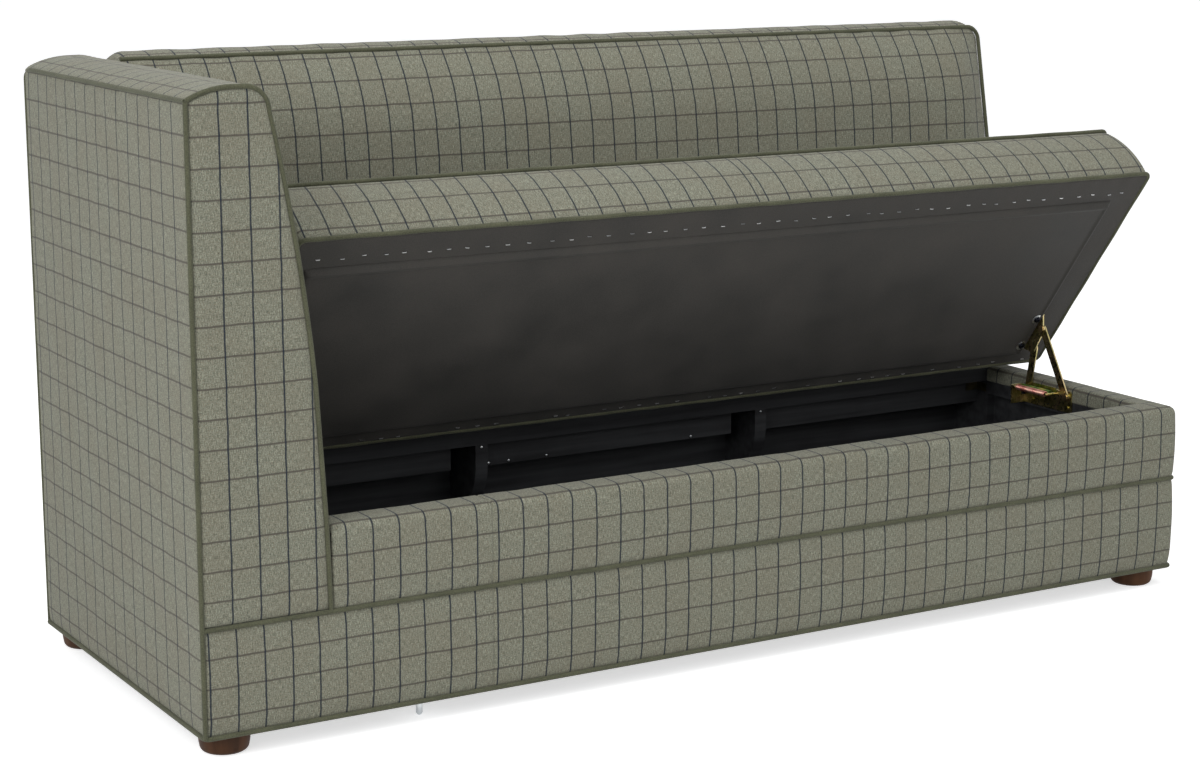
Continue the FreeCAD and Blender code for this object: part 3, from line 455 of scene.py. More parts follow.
class Recipe(Nodes):
    """One material's nodes round its surface shader."""

    def __init__(self, name: str) -> None:
        """Start a material that has one surface shader.

        Args:
            name: the material's name.
        """
        self.material = bpy.data.materials.new(name)
        self.material.use_nodes = True
        super().__init__(self.material.node_tree)
        self.surface = self.add("ShaderNodeBsdfPrincipled")
        self.add("ShaderNodeOutputMaterial", {0: self.surface.outputs[0]})

    def set(self, **values: object) -> None:
        """Feed the surface shader's inputs, underscores standing for spaces."""
        for key, value in values.items():
            self.feed(self.surface.inputs[key.replace("_", " ")], value)

    def cloth(self) -> Socket:
        """The place on the cloth, as the mesh holds it."""
        return self.add("ShaderNodeUVMap", uv_map="cloth").outputs[0]

    def place(self) -> Socket:
        """The place in the object, in metres."""
        return self.add("ShaderNodeTexCoord").outputs["Object"]

    def split(self, place: Socket) -> Sequence[Socket]:
        """A place's separate coordinates."""
        return self.add("ShaderNodeSeparateXYZ", {0: place}).outputs

    def weighed(self, *parts: tuple[Socket, float]) -> Socket:
        """Values added up by weight.

        Args:
            *parts: each value with its weight.

        Returns:
            The sum.
        """
        total, *others = (self.sums("MULTIPLY", value, weight) for value, weight in parts)
        for other in others:
            total = self.sums("ADD", total, other)
        return total

    def stretched(self, place: Socket, scale: Triple) -> Socket:
        """A place scaled differently along each axis."""
        return self.add("ShaderNodeVectorMath", {0: place, 1: scale}, operation="MULTIPLY").outputs[0]

    def noise(self, place: Socket, scale: float = 1.0, detail: float = 2.0) -> Socket:
        """Soft noise from 0 to 1."""
        return self.add("ShaderNodeTexNoise", {"Vector": place, "Scale": scale, "Detail": detail}).outputs[0]

    def level(self, value: Socket, reach: Pair, onto: Pair = (0.0, 1.0)) -> Socket:
        """A value carried smoothly from one range onto another and held at its ends."""
        ends = {0: value, 1: reach[0], 2: reach[1], 3: onto[0], 4: onto[1]}
        return self.add("ShaderNodeMapRange", ends, interpolation_type="SMOOTHSTEP").outputs[0]

    def mixed(self, share: Socket, first: object, second: object) -> Socket:
        """Two colours mixed by a share of the second."""
        return self.add("ShaderNodeMix", {0: share, 6: first, 7: second}, data_type="RGBA").outputs[2]

    def ramp(self, value: Socket, *stops: tuple[float, Rgba]) -> Socket:
        """A colour chosen along a row of stops.

        Args:
            value: the place along the row.
            *stops: each stop's place and colour.

        Returns:
            The colour.
        """
        node = self.add("ShaderNodeValToRGB", {0: value})
        row = node.color_ramp.elements
        while len(row) < len(stops):
            row.new(0.5)
        for element, (position, colour) in zip(row, stops):
            element.position = position
            element.color = colour
        return node.outputs[0]

    def bump(self, height: Socket, strength: float, distance: float) -> None:
        """Raise the surface by a height."""
        node = self.add("ShaderNodeBump", {"Height": height, "Strength": strength, "Distance": distance})
        self.set(Normal=node.outputs[0])


@dataclass(frozen=True)
class Finish:
    """What every finish shares: a name that no slot has, and a material made once."""

    name: str

    def material(self) -> bpy.types.Material:
        """The finish's material, made at its first use."""
        found = bpy.data.materials.get(self.name)
        return found if found else self.mix()

    def mix(self) -> bpy.types.Material:
        """Make the material."""
        raise NotImplementedError


@dataclass(frozen=True)
class WindowpaneTweed(Finish):
    """Grey-green tweed with fine navy uprights and brown cross lines."""

    name: str = "windowpane_tweed"
    across: float = 0.0414
    upward: float = 0.0416
    pull: float = 1.0225
    navy: Rgba = tone(30, 38, 48)
    brown: Rgba = tone(66, 59, 55)
    dark: Rgba = tone(70, 71, 61)
    middle: Rgba = tone(120, 121, 107)
    light: Rgba = tone(166, 167, 149)
    tan: Rgba = tone(150, 128, 100)
    moss: Rgba = tone(88, 98, 78)
    dun: Rgba = tone(116, 106, 88)
    wander: float = 0.06
    upright_edge: Pair = (0.018, 0.044)
    cross_edge: Pair = (0.014, 0.05)

    def lay(self, across: Array, upward: Array, start: Pair = (0.0, 0.0)) -> Array:
        """Places on the cloth for distances across and up it less a start, in repeats of the check."""
        return grid((across - start[0]) / self.across, (upward - start[1]) / self.upward)

    def mix(self) -> bpy.types.Material:
        """Fine flecks and yarn streaks for the ground, with check lines where a coordinate is whole.

        Returns:
            The material.
        """
        r = Recipe(self.name)
        cloth = r.cloth()
        drift = r.sums("MULTIPLY", r.sums("SUBTRACT", r.noise(cloth, 1.4), 0.5), self.wander)
        fleck = r.noise(r.stretched(cloth, (1.0, 0.62, 1.0)), 32.0)
        warp, weft = (r.noise(r.stretched(cloth, scale)) for scale in ((46.0, 5.0, 1.0), (5.0, 46.0, 1.0)))
        yarn = r.weighed((warp, 0.42), (weft, 0.2), (fleck, 0.38))
        ground = r.ramp(yarn, (0.34, self.dark), (0.5, self.middle), (0.66, self.light))
        specks = r.noise(r.stretched(cloth, (1.0, 0.7, 1.0)), 34.0, 1.0)
        patches = r.noise(cloth, 0.45, 3.0)
        for value, reach, most, colour in (
            (specks, (0.6, 0.72), 0.55, self.tan), (specks, (0.4, 0.28), 0.5, self.moss),
            (patches, (0.3, 0.7), 0.2, self.dun),
        ):
            ground = r.mixed(r.level(value, reach, (0.0, most)), ground, colour)
        broken = r.level(fleck, (0.3, 0.6), (0.74, 1.0))
        across, upward, _ = r.split(cloth)
        for place, edge, most, colour in (
            (upward, self.cross_edge, 0.8, self.brown), (across, self.upright_edge, 1.0, self.navy),
        ):
            gap = r.sums("PINGPONG", r.sums("ADD", place, drift), 0.5)
            ground = r.mixed(r.sums("MULTIPLY", r.level(gap, edge, (most, 0.0)), broken), ground, colour)
        r.set(Base_Color=ground, Roughness=0.93, Specular_IOR_Level=0.2)
        r.set(Sheen_Weight=0.12, Sheen_Roughness=0.5)
        r.bump(yarn, 0.4, 0.0006)
        return r.material


@dataclass(frozen=True)
class OlivePiping(Finish):
    """Olive woven piping, its cloth cut on the bias."""

    name: str = "olive_piping"
    dark: Rgba = tone(51, 53, 39)
    light: Rgba = tone(97, 98, 76)
    thread: float = 0.0007

    def mix(self) -> bpy.types.Material:
        """Threads at a slant along the cord, with slow changes of shade.

        Returns:
            The material.
        """
        r = Recipe(self.name)
        cloth = r.cloth()
        length, around, _ = r.split(cloth)
        slant = r.sums("PINGPONG", r.sums("ADD", length, around), self.thread)
        thread = r.level(slant, (0.0, self.thread))
        value = r.weighed((r.noise(cloth, 420.0), 0.5), (r.noise(cloth, 18.0), 0.3), (thread, 0.2))
        r.set(Base_Color=r.ramp(value, (0.3, self.dark), (0.7, self.light)))
        r.set(Roughness=0.8, Sheen_Weight=0.1, Specular_IOR_Level=0.25)
        r.bump(thread, 0.35, 0.0003)
        return r.material


@dataclass(frozen=True)
class BlackLining(Finish):
    """Thin black spun lining cloth, dusty and slightly mottled."""

    name: str = "black_lining"
    dark: Rgba = tone(46, 45, 42)
    light: Rgba = tone(70, 67, 63)

    def mix(self) -> bpy.types.Material:
        """Pressed fibres over broad dusty patches.

        Returns:
            The material.
        """
        r = Recipe(self.name)
        place = r.place()
        fibre, dust = r.noise(place, 900.0), r.noise(place, 9.0, 4.0)
        value = r.weighed((fibre, 0.45), (dust, 0.55))
        r.set(Base_Color=r.ramp(value, (0.36, self.dark), (0.64, self.light)))
        r.set(Roughness=r.level(dust, (0.3, 0.7), (0.7, 0.9)), Sheen_Weight=0.08, Specular_IOR_Level=0.3)
        r.bump(fibre, 0.3, 0.0003)
        return r.material


@dataclass(frozen=True)
class PaintedTimber(Finish):
    """Timber under one thin coat of paint or stain, its grain showing faintly."""

    name: str = "black_paint"
    dark: Rgba = tone(38, 38, 40)
    light: Rgba = tone(62, 63, 65)
    roughness: float = 0.62
    shine: float = 0.22
    grain: Triple = (3.0, 70.0, 70.0)

    def mix(self) -> bpy.types.Material:
        """Stretched grain with brush marks and a roughness that follows them.

        Returns:
            The material.
        """
        r = Recipe(self.name)
        place = r.place()
        grain, blotch = r.noise(r.stretched(place, self.grain), detail=4.0), r.noise(place, 14.0, 3.0)
        value = r.weighed((grain, 0.7), (blotch, 0.3))
        r.set(Base_Color=r.ramp(value, (0.34, self.dark), (0.66, self.light)), Specular_IOR_Level=self.shine)
        r.set(Roughness=r.level(blotch, (0.3, 0.7), (self.roughness - 0.08, self.roughness + 0.1)))
        r.bump(grain, 0.25, 0.0008)
        return r.material


@dataclass(frozen=True)
class PlatedSteel(Finish):
    """Plated or blackened steel whose tint shifts in soft patches, its tints as display colours."""

    low: Triple
    middle: Triple
    high: Triple
    roughness: float = 0.3
    patches: float = 60.0

    def mix(self) -> bpy.types.Material:
        """Tints chosen by patchy noise, with fine rolling marks.

        Returns:
            The material.
        """
        r = Recipe(self.name)
        place = r.place()
        stops = ((0.34, tone(*self.low)), (0.5, tone(*self.middle)), (0.66, tone(*self.high)))
        r.set(Base_Color=r.ramp(r.noise(place, self.patches, 1.0), *stops), Metallic=1.0)
        marks = r.noise(r.stretched(place, (1500.0, 160.0, 160.0)))
        r.set(Roughness=r.level(marks, (0.3, 0.7), (self.roughness - 0.06, self.roughness + 0.1)))
        r.bump(marks, 0.1, 0.0002)
        return r.material


TWEED = WindowpaneTweed()
PIPING = OlivePiping()
LINING = BlackLining()
BLACK_PAINT = PaintedTimber()
RAW_TIMBER = PaintedTimber("raw_softwood", tone(158, 124, 84), tone(206, 172, 124), 0.7)
STAINED_WOOD = PaintedTimber(
    "dark_stained_wood", tone(58, 38, 25), tone(90, 61, 42), 0.55, 0.12, (60.0, 60.0, 9.0),
)
YELLOW_ZINC = PlatedSteel("yellow_zinc", (150, 142, 92), (188, 176, 124), (202, 180, 138))
DULL_ZINC = PlatedSteel("dull_zinc", (58, 56, 40), (74, 70, 50), (88, 80, 58), 0.5)
ROSE_ZINC = PlatedSteel("rose_zinc", (206, 132, 118), (236, 172, 160), (242, 204, 178), 0.4)
GREEN_ZINC = PlatedSteel("green_zinc", (82, 112, 54), (124, 158, 78), (190, 176, 96), 0.38)
BRIGHT_ZINC = PlatedSteel("bright_zinc", (168, 172, 176), (204, 208, 210), (226, 228, 228))
STAPLE_WIRE = PlatedSteel("staple_wire", (150, 151, 153), (206, 208, 210), (240, 240, 240), 0.5)
BLACK_STEEL = PlatedSteel("blackened_steel", (16, 17, 21), (26, 27, 33), (40, 41, 48), 0.46)

SLOT_FINISHES: dict[str, Finish] = {
    "tweed_cloth": TWEED, "piping_cloth": PIPING, "black_cloth": LINING, "black_painted_wood": BLACK_PAINT,
    "frame_timber": RAW_TIMBER, "yellow_zinc_steel": YELLOW_ZINC, "black_steel": BLACK_STEEL,
    "bright_zinc_steel": BRIGHT_ZINC, "stained_wood": STAINED_WOOD,
}
NODE_FINISHES: dict[str, Finish] = {"corner_bracket": DULL_ZINC}


# Pieces

def sew(name: str, patches: Sequence[Patch], finish: Finish, body: str,
        crease: float = 55.0) -> bpy.types.Object:
    """Join patches into one closed mesh that moves with a body.

    Points closer than a fiftieth of a millimetre are merged, which closes the seams and the poles.

    Args:
        name: the piece's name.
        patches: the grids to join.
        finish: the piece's finish.
        body: the body that carries it.
        crease: edges sharper than this many degrees stay sharp.

    Returns:
        The new object.
    """
    faces, start = [], 0
    for patch in patches:
        rows, columns = patch.points.shape[:2]
        index = np.arange(start, start + rows * columns).reshape(rows, columns)
        quads = np.stack([index[:-1, :-1], index[:-1, 1:], index[1:, 1:], index[1:, :-1]], axis=-1)
        faces.append(quads.reshape(-1, 4))
        start += rows * columns
    faces = np.concatenate(faces)
    points = np.concatenate([patch.points.reshape(-1, 3) for patch in patches])
    cloth = np.concatenate([patch.cloth.reshape(-1, 2) for patch in patches])
    mesh = bpy.data.meshes.new(name)
    mesh.from_pydata(points.tolist(), [], faces.tolist())
    layer = mesh.uv_layers.new(name="cloth")
    layer.data.foreach_set("uv", cloth[faces.ravel()].ravel())
    shell = bmesh.new()
    shell.from_mesh(mesh)
    bmesh.ops.remove_doubles(shell, verts=shell.verts, dist=2e-5)
    bmesh.ops.dissolve_degenerate(shell, edges=shell.edges, dist=1e-6)
    bmesh.ops.recalc_face_normals(shell, faces=shell.faces)
    shell.to_mesh(mesh)
    shell.free()
    mesh.shade_smooth()
    mesh.set_sharp_from_angle(angle=math.radians(crease))
    mesh.materials.append(finish.material())
    piece = bpy.data.objects.new(name, mesh)
    bpy.context.scene.collection.objects.link(piece)
    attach(piece, body)
    LOG.info("%s: %d faces, on %s", name, len(mesh.polygons), body)
    return piece


def upholster(name: str, patches: Sequence[Patch], nodes: Sequence[str], body: str = "base") -> None:
    """Sew a padded tweed piece that stands for CAD nodes.

    Args:
        name: the piece's name.
        patches: its grids.
        nodes: the nodes it stands for.
        body: the body that carries it.
    """
    piece = sew(name, patches, TWEED, body)
    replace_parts(piece, *nodes)


def pipe(name: str, run: Patch, node: str, body: str = "base") -> None:
    """Sew a run of piping that stands for a CAD node."""
    piece = sew(name, [run], PIPING, body)
    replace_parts(piece, node)


@dataclass(frozen=True)
class Faces:
    """Outer cloth faces and seam heights of the whole piece, in metres."""

    left: float
    right: float
    front: float
    rear: float
    floor_seam: float
    mid_seam: float
    rail_top: float
    cord: float
    cord_inset: float = 0.001

    @classmethod
    def read(cls) -> "Faces":
        """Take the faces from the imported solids.

        Returns:
            The faces.
        """
        low_pipe, mid_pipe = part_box("bottom_piping"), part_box("mid_piping")
        return cls(
            left=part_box("arm_outer_panel")[0].x, right=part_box("end_lower_band")[1].x,
            front=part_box("front_lower_band")[0].y, rear=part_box("outer_back_panel")[1].y,
            floor_seam=(low_pipe[0].z + low_pipe[1].z) / 2, mid_seam=(mid_pipe[0].z + mid_pipe[1].z) / 2,
            rail_top=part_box("front_upper_band")[1].z, cord=(mid_pipe[1].z - mid_pipe[0].z) / 2,
        )


# Closed arm

@dataclass
class ArmUpholstery:
    """The closed left arm: padded inner side, front panel, outer panel and three runs of piping."""

    faces: Faces
    edge_height: float = 0.896
    crest: float = 0.0165
    crest_start: float = 0.070
    crest_pass: Pair = (0.025, 0.0105)
    top_width: float = 0.118
    shoulder: float = 0.034
    waist: Pair = (0.1525, 0.695)
    low: Pair = (0.1755, 0.507)
    seat: Pair = (0.1875, 0.309)
    foot: Pair = (0.1915, 0.1862)
    tuck: float = 0.004
    seam_inset: float = 0.0025
    bottom_gap: float = 0.003
    top_gap: float = 0.002
    inside_swell: float = 0.0025
    front_swell: float = 0.0022
    outside_swell: float = 0.0012
    inside_rolls: SeamRolls = SeamRolls(0.010, 0.008, 0.014, 0.008)
    front_rolls: SeamRolls = SeamRolls(0.018, 0.014, 0.016, 0.016)
    outside_rolls: SeamRolls = SeamRolls(low=0.030, high=0.010)
    inside_backing: float = 0.02
    inside_check: Pair = (0.006, 0.024)
    front_check: Pair = (0.0447, 0.890)
    outside_check: Pair = (0.008, 0.8504)
    cord_stop: float = 0.006
    cord_dip: float = 0.007
    dip_length: float = 0.03

    def profile(self, inset: float = 0.0) -> Array:
        """The arm's section in x and z, from its outer top edge over the crest and down to its foot.

        Args:
            inset: distance that the section is drawn in, along its normal.

        Returns:
            The points, one a row.
        """
        x, top = self.faces.left, self.edge_height + self.crest
        edge, brow = (x, self.edge_height), (x + self.crest_pass[0], self.edge_height + self.crest_pass[1])
        spots = (self.waist, self.low, self.seat, self.foot)
        waist, low, seat, foot = ((x + across, z) for across, z in spots)
        level, radius = x + self.top_width - self.shoulder, self.shoulder
        turn = quarter((level, top - radius), radius, 90.0, 0.0, 14)
        line = joined(
            arc_through(edge, brow, (x + self.crest_start, top)), turn, arc_through(turn[-1], waist, low, 50),
            [seat, foot],
        )
        return line + inset * rightward(line)

    def inner_edge(self, height: Array) -> Array:
        """How far across the arm's inner side stands at given heights.

        Args:
            height: the heights.

        Returns:
            A place across for each.
        """
        line = self.profile()
        line = line[np.argmax(line[:, 1]):]
        return np.interp(height, line[::-1, 1], line[::-1, 0])

    def build(self) -> None:
        """Make the arm's covers and piping."""
        self.cover_inside()
        self.cover_front()
        self.cover_outside()
        self.run_piping()

    def cover_inside(self) -> None:
        """Crown and inner side: the section carried from front to rear, drawn in at its seams."""
        f, rows, columns = self.faces, 150, 110
        line = along(self.profile(self.tuck), eased(rows))
        y = spread(f.front + self.tuck, f.rear - self.tuck, columns)
        base = grid(line[:, :1], y[None], line[:, 1:])
        cloth = TWEED.lay(y[None] - f.front, walked(line)[:, None], self.inside_check)
        swell = self.tuck + self.inside_swell * bow(rows)[:, None] + uneven(cloth, 0.0005, seed=3)
        patches = stuffed(base, cloth, swell, self.inside_rolls, Facing.RIGHT, self.inside_backing)
        upholster("arm_inside_cover", patches, ["arm_pad"])

    def cover_front(self) -> None:
        """Front panel: the surface between its four seams, swelling forward."""
        f = self.faces
        line = self.profile(self.seam_inset)
        slant = f.left + self.top_width - self.edge_height
        turn = int(np.argmin(np.abs(line[:, 0] - line[:, 1] - slant)))
        top, side = line[:turn + 1], line[turn:][::-1]
        bottom = f.mid_seam + self.bottom_gap
        side = joined([(np.interp(bottom, side[:, 1], side[:, 0]), bottom)], side[side[:, 1] > bottom])
        corner = (f.left + self.seam_inset, top[0, 1])
        top = joined([corner], top[1:])
        rows, columns = eased(150), eased(56)
        low = along(np.array([(corner[0], bottom), side[0]]), columns)
        flat = coons(low, along(top, columns), along(np.array([low[0], corner]), rows), along(side, rows))
        base = np.insert(flat, 1, f.front + self.tuck, axis=-1)
        cloth = TWEED.lay(flat[..., 0] - f.left, flat[..., 1], self.front_check)
        swell = self.tuck + self.front_swell + uneven(cloth, 0.0006, seed=5)
        patches = stuffed(base, cloth, swell, self.front_rolls, Facing.FRONT)
        upholster("arm_front_cover", patches, ["arm_front_panel"])

    def cover_outside(self) -> None:
        """Outer panel: one tall sheet over the arm's side, pulled under at its bottom edge."""
        f, rows, columns = self.faces, 130, 110
        y = spread(f.front + self.tuck, f.rear - self.tuck, columns)
        z = spread(f.floor_seam, self.edge_height - self.top_gap, rows)
        base = grid(f.left + self.tuck, y[None], z[:, None])
        cloth = TWEED.lay(y[None] - f.front, z[:, None], self.outside_check)
        belly = self.outside_swell * bow(rows)[:, None] * bow(columns)[None]
        swell = self.tuck + belly + uneven(cloth, 0.0006, seed=8)
        patches = stuffed(base, cloth, swell, self.outside_rolls, Facing.LEFT)
        upholster("arm_outside_cover", patches, ["arm_outer_panel"])

    def run_piping(self) -> None:
        """Piping round the front panel, down the corner and along the top edge, its rear end tucked in."""
        f, inset = self.faces, self.faces.cord_inset
        line = along(self.profile(inset), np.linspace(0.0, 1.0, 220))
        away = np.insert(-rightward(line), 1, 0.0, axis=1)
        x, y, top = f.left + inset, f.front + inset, self.edge_height - inset
        pipe("arm_front_cord", tube(np.insert(line, 1, y, axis=1), away, f.cord), "arm_front_piping")
        post = grid(x, y, np.linspace(f.floor_seam, top, 90))
        pipe("arm_corner_cord", tube(post, (-1.0, -1.0, 0.0), f.cord), "arm_corner_piping")
        reach = np.linspace(y, f.rear - self.cord_stop, 90)
        dip = self.cord_dip * np.clip(1.0 + (reach - reach[-1]) / self.dip_length, 0.0, 1.0) ** 2
        edge = grid(x + dip, reach, top - dip)
        pipe("arm_top_cord", tube(edge, (-1.0, 0.0, 1.0), f.cord), "arm_top_piping")


# Back

@dataclass
class BackUpholstery:
    """The back: padded front, boxing over its top and free end, outer panel and two runs of piping."""

    faces: Faces
    arm: ArmUpholstery
    top: Pair = (0.093, 0.909)
    roll: Pair = (0.134, 0.855)
    shoulder: Pair = (0.158, 0.778)
    belly: Pair = (0.169, 0.650)
    low: Pair = (0.172, 0.507)
    seat: Pair = (0.195, 0.309)
    end_roll: float = 0.085
    end_sag: float = 0.010
    end_gap: float = 0.003
    arm_gap: float = 0.001
    rear_height: float = 0.897
    crown: float = 0.014
    boxing_swell: Pair = (0.003, 0.002)
    rear_swell: float = 0.001
    front_rolls: SeamRolls = SeamRolls(0.010, 0.016, 0.014, 0.012)
    boxing_rolls: SeamRolls = SeamRolls(0.010, 0.010, 0.022, 0.010)
    rear_rolls: SeamRolls = SeamRolls(low=0.028, high=0.010)
    front_backing: float = 0.03
    corner: float = 0.022
    rear_corner: float = 0.016
    seam_inset: float = 0.002
    first_line: float = 0.0078
    top_line: float = 0.0164
    boxing_line: float = 0.012
    rear_check: Pair = (0.012, 0.8504)
    tuck: float = 0.004
    cord_heart: Triple = (0.2, 0.6, 0.5)

    def profile(self) -> Array:
        """The padded face's section in y and z: straight from the seat, then a belly and a roll to the top.

        Returns:
            The points, one a row.
        """
        spots = (self.seat, self.low, self.belly, self.shoulder, self.roll, self.top)
        seat, low, belly, shoulder, roll, top = ((self.faces.rear - d, z) for d, z in spots)
        return joined([seat], arc_through(low, belly, shoulder, 50), arc_through(shoulder, roll, top, 50))

    def face_at(self, height: Array) -> Array:
        """How far back the front seams stand at a height: straight runs from the seat to the top seam."""
        depths, heights = np.array((self.seat, self.low, self.top)).T
        return self.faces.rear - np.interp(height, heights, depths)

    def build(self) -> None:
        """Make the back's covers and piping."""
        self.cover_front()
        self.cover_boxing()
        self.cover_rear()
        self.run_piping()

    def cover_front(self) -> None:
        """Front pad: the section carried from the arm to the free end, its free top corner rounded."""
        f, rows = self.faces, 150
        line = along(self.profile(), np.linspace(0.0, 1.0, rows))
        z = line[:, 1:]
        edge = f.right - self.end_gap
        short = np.clip(z - (self.top[1] - self.corner), 0.0, self.corner)
        end = edge - self.corner + np.sqrt(self.corner ** 2 - short ** 2)
        x = spread(self.arm.inner_edge(z) + self.arm_gap, end, 300)
        crown = np.sin(math.pi / 2 * np.clip((edge - x) / self.end_roll, 0.0, 1.0))
        seam = self.face_at(z)
        base = grid(x, seam + self.tuck + crown * (line[:, :1] - seam), z)
        height = walked(line)[:, None]
        sag = self.end_sag * (1 - crown) * bow(rows)[:, None]
        place = (x - f.left - self.first_line) * TWEED.pull
        cloth = TWEED.lay(place, height - height[-1] + self.top_line + sag)
        swell = self.tuck + uneven(cloth, 0.0008, seed=11)
        patches = stuffed(base, cloth, swell, self.front_rolls, Facing.FRONT, self.front_backing)
        upholster("back_front_cover", patches, ["back_pad"])

    def rail(self, height: float, inset: float, follow: bool) -> Array:
        """One edge of the boxing: along the top, round the free corner and down the free end.

        Args:
            height: height of the top run.
            inset: distance in from the outer faces.
            follow: whether the edge follows the front face, not the rear one.

        Returns:
            The points, the same number for both edges.
        """
        f, radius, count = self.faces, self.corner, 240
        start, end = f.left + self.arm.top_width + self.arm_gap, f.right - inset
        turn = quarter((end - radius, height - radius), radius, 90.0, 0.0, 14)[1:-1]
        x = np.concatenate([spread(start, end - radius, count), turn[:, 0], np.full(count, end)])
        down = spread(height - radius, f.rail_top + self.end_gap, count)
        z = np.concatenate([np.full(count, height), turn[:, 1], down])
        return grid(x, self.face_at(z) + inset if follow else f.rear - inset, z)

    def cover_boxing(self) -> None:
        """Boxing: the surface ruled between its front and rear edges, swelling away from the back."""
        inset = self.seam_inset
        front = self.rail(self.top[1] - inset, inset, True)
        rear = self.rail(self.rear_height - inset, inset, False)
        share = eased(44)[:, None, None]
        base = (1 - share) * front[None] + share * rear[None]
        place = walked((front + rear) / 2)[None] + self.arm.top_width + self.arm_gap - self.first_line
        cloth = TWEED.lay(place * TWEED.pull, walked(base, 0), (0.0, self.boxing_line))
        over = np.clip((front[:, 2] - self.top[1] + self.corner) / self.corner, 0.0, 1.0)[None]
        hump = 4 * share[..., 0] * (1 - share[..., 0])
        edge, middle = self.boxing_swell
        swell = edge + hump * (middle + self.crown * over) + uneven(cloth, 0.0006, seed=13)
        patches = stuffed(base, cloth, swell, self.boxing_rolls, Facing.UP)
        upholster("back_boxing_cover", patches, ["back_boxing"])

    def cover_rear(self) -> None:
        """Outer back: one sheet from the bottom seam to the top rear seam."""
        f = self.faces
        x = spread(f.left + self.end_gap, f.right - self.end_gap, 240)
        z = spread(f.floor_seam, self.rear_height - self.seam_inset, 130)
        base = grid(x[None], f.rear - self.tuck, z[:, None])
        cloth = TWEED.lay(x[None] - f.left, z[:, None], self.rear_check)
        swell = self.tuck + self.rear_swell + uneven(cloth, 0.0007, seed=17)
        patches = stuffed(base, cloth, swell, self.rear_rolls, Facing.REAR)
        upholster("back_rear_cover", patches, ["outer_back_panel"])

    def run_piping(self) -> None:
        """Piping along the boxing's front edge, and round the outer back's three open edges."""
        f, inset = self.faces, self.faces.cord_inset
        edge = along(self.rail(self.top[1] + inset, -inset, True), np.linspace(0.0, 1.0, 420))
        across, ahead, up = self.cord_heart
        away = grid(edge[:, 0] - across, -ahead, edge[:, 2] - up)
        pipe("back_front_cord", tube(edge, away, f.cord), "back_front_piping")
        x0, x1, y, z = f.left + 4 * inset, f.right - inset, f.rear - inset, self.rear_height - inset
        line = rounded_run(
            ((x0, y, f.floor_seam), (x0, y, z), (x1, y, z), (x1, y, f.floor_seam)),
            (self.rear_corner, self.corner), step=0.02,
        )
        pipe("back_rear_cord", tube(line, Facing.REAR.value, f.cord), "rear_piping")


# Base

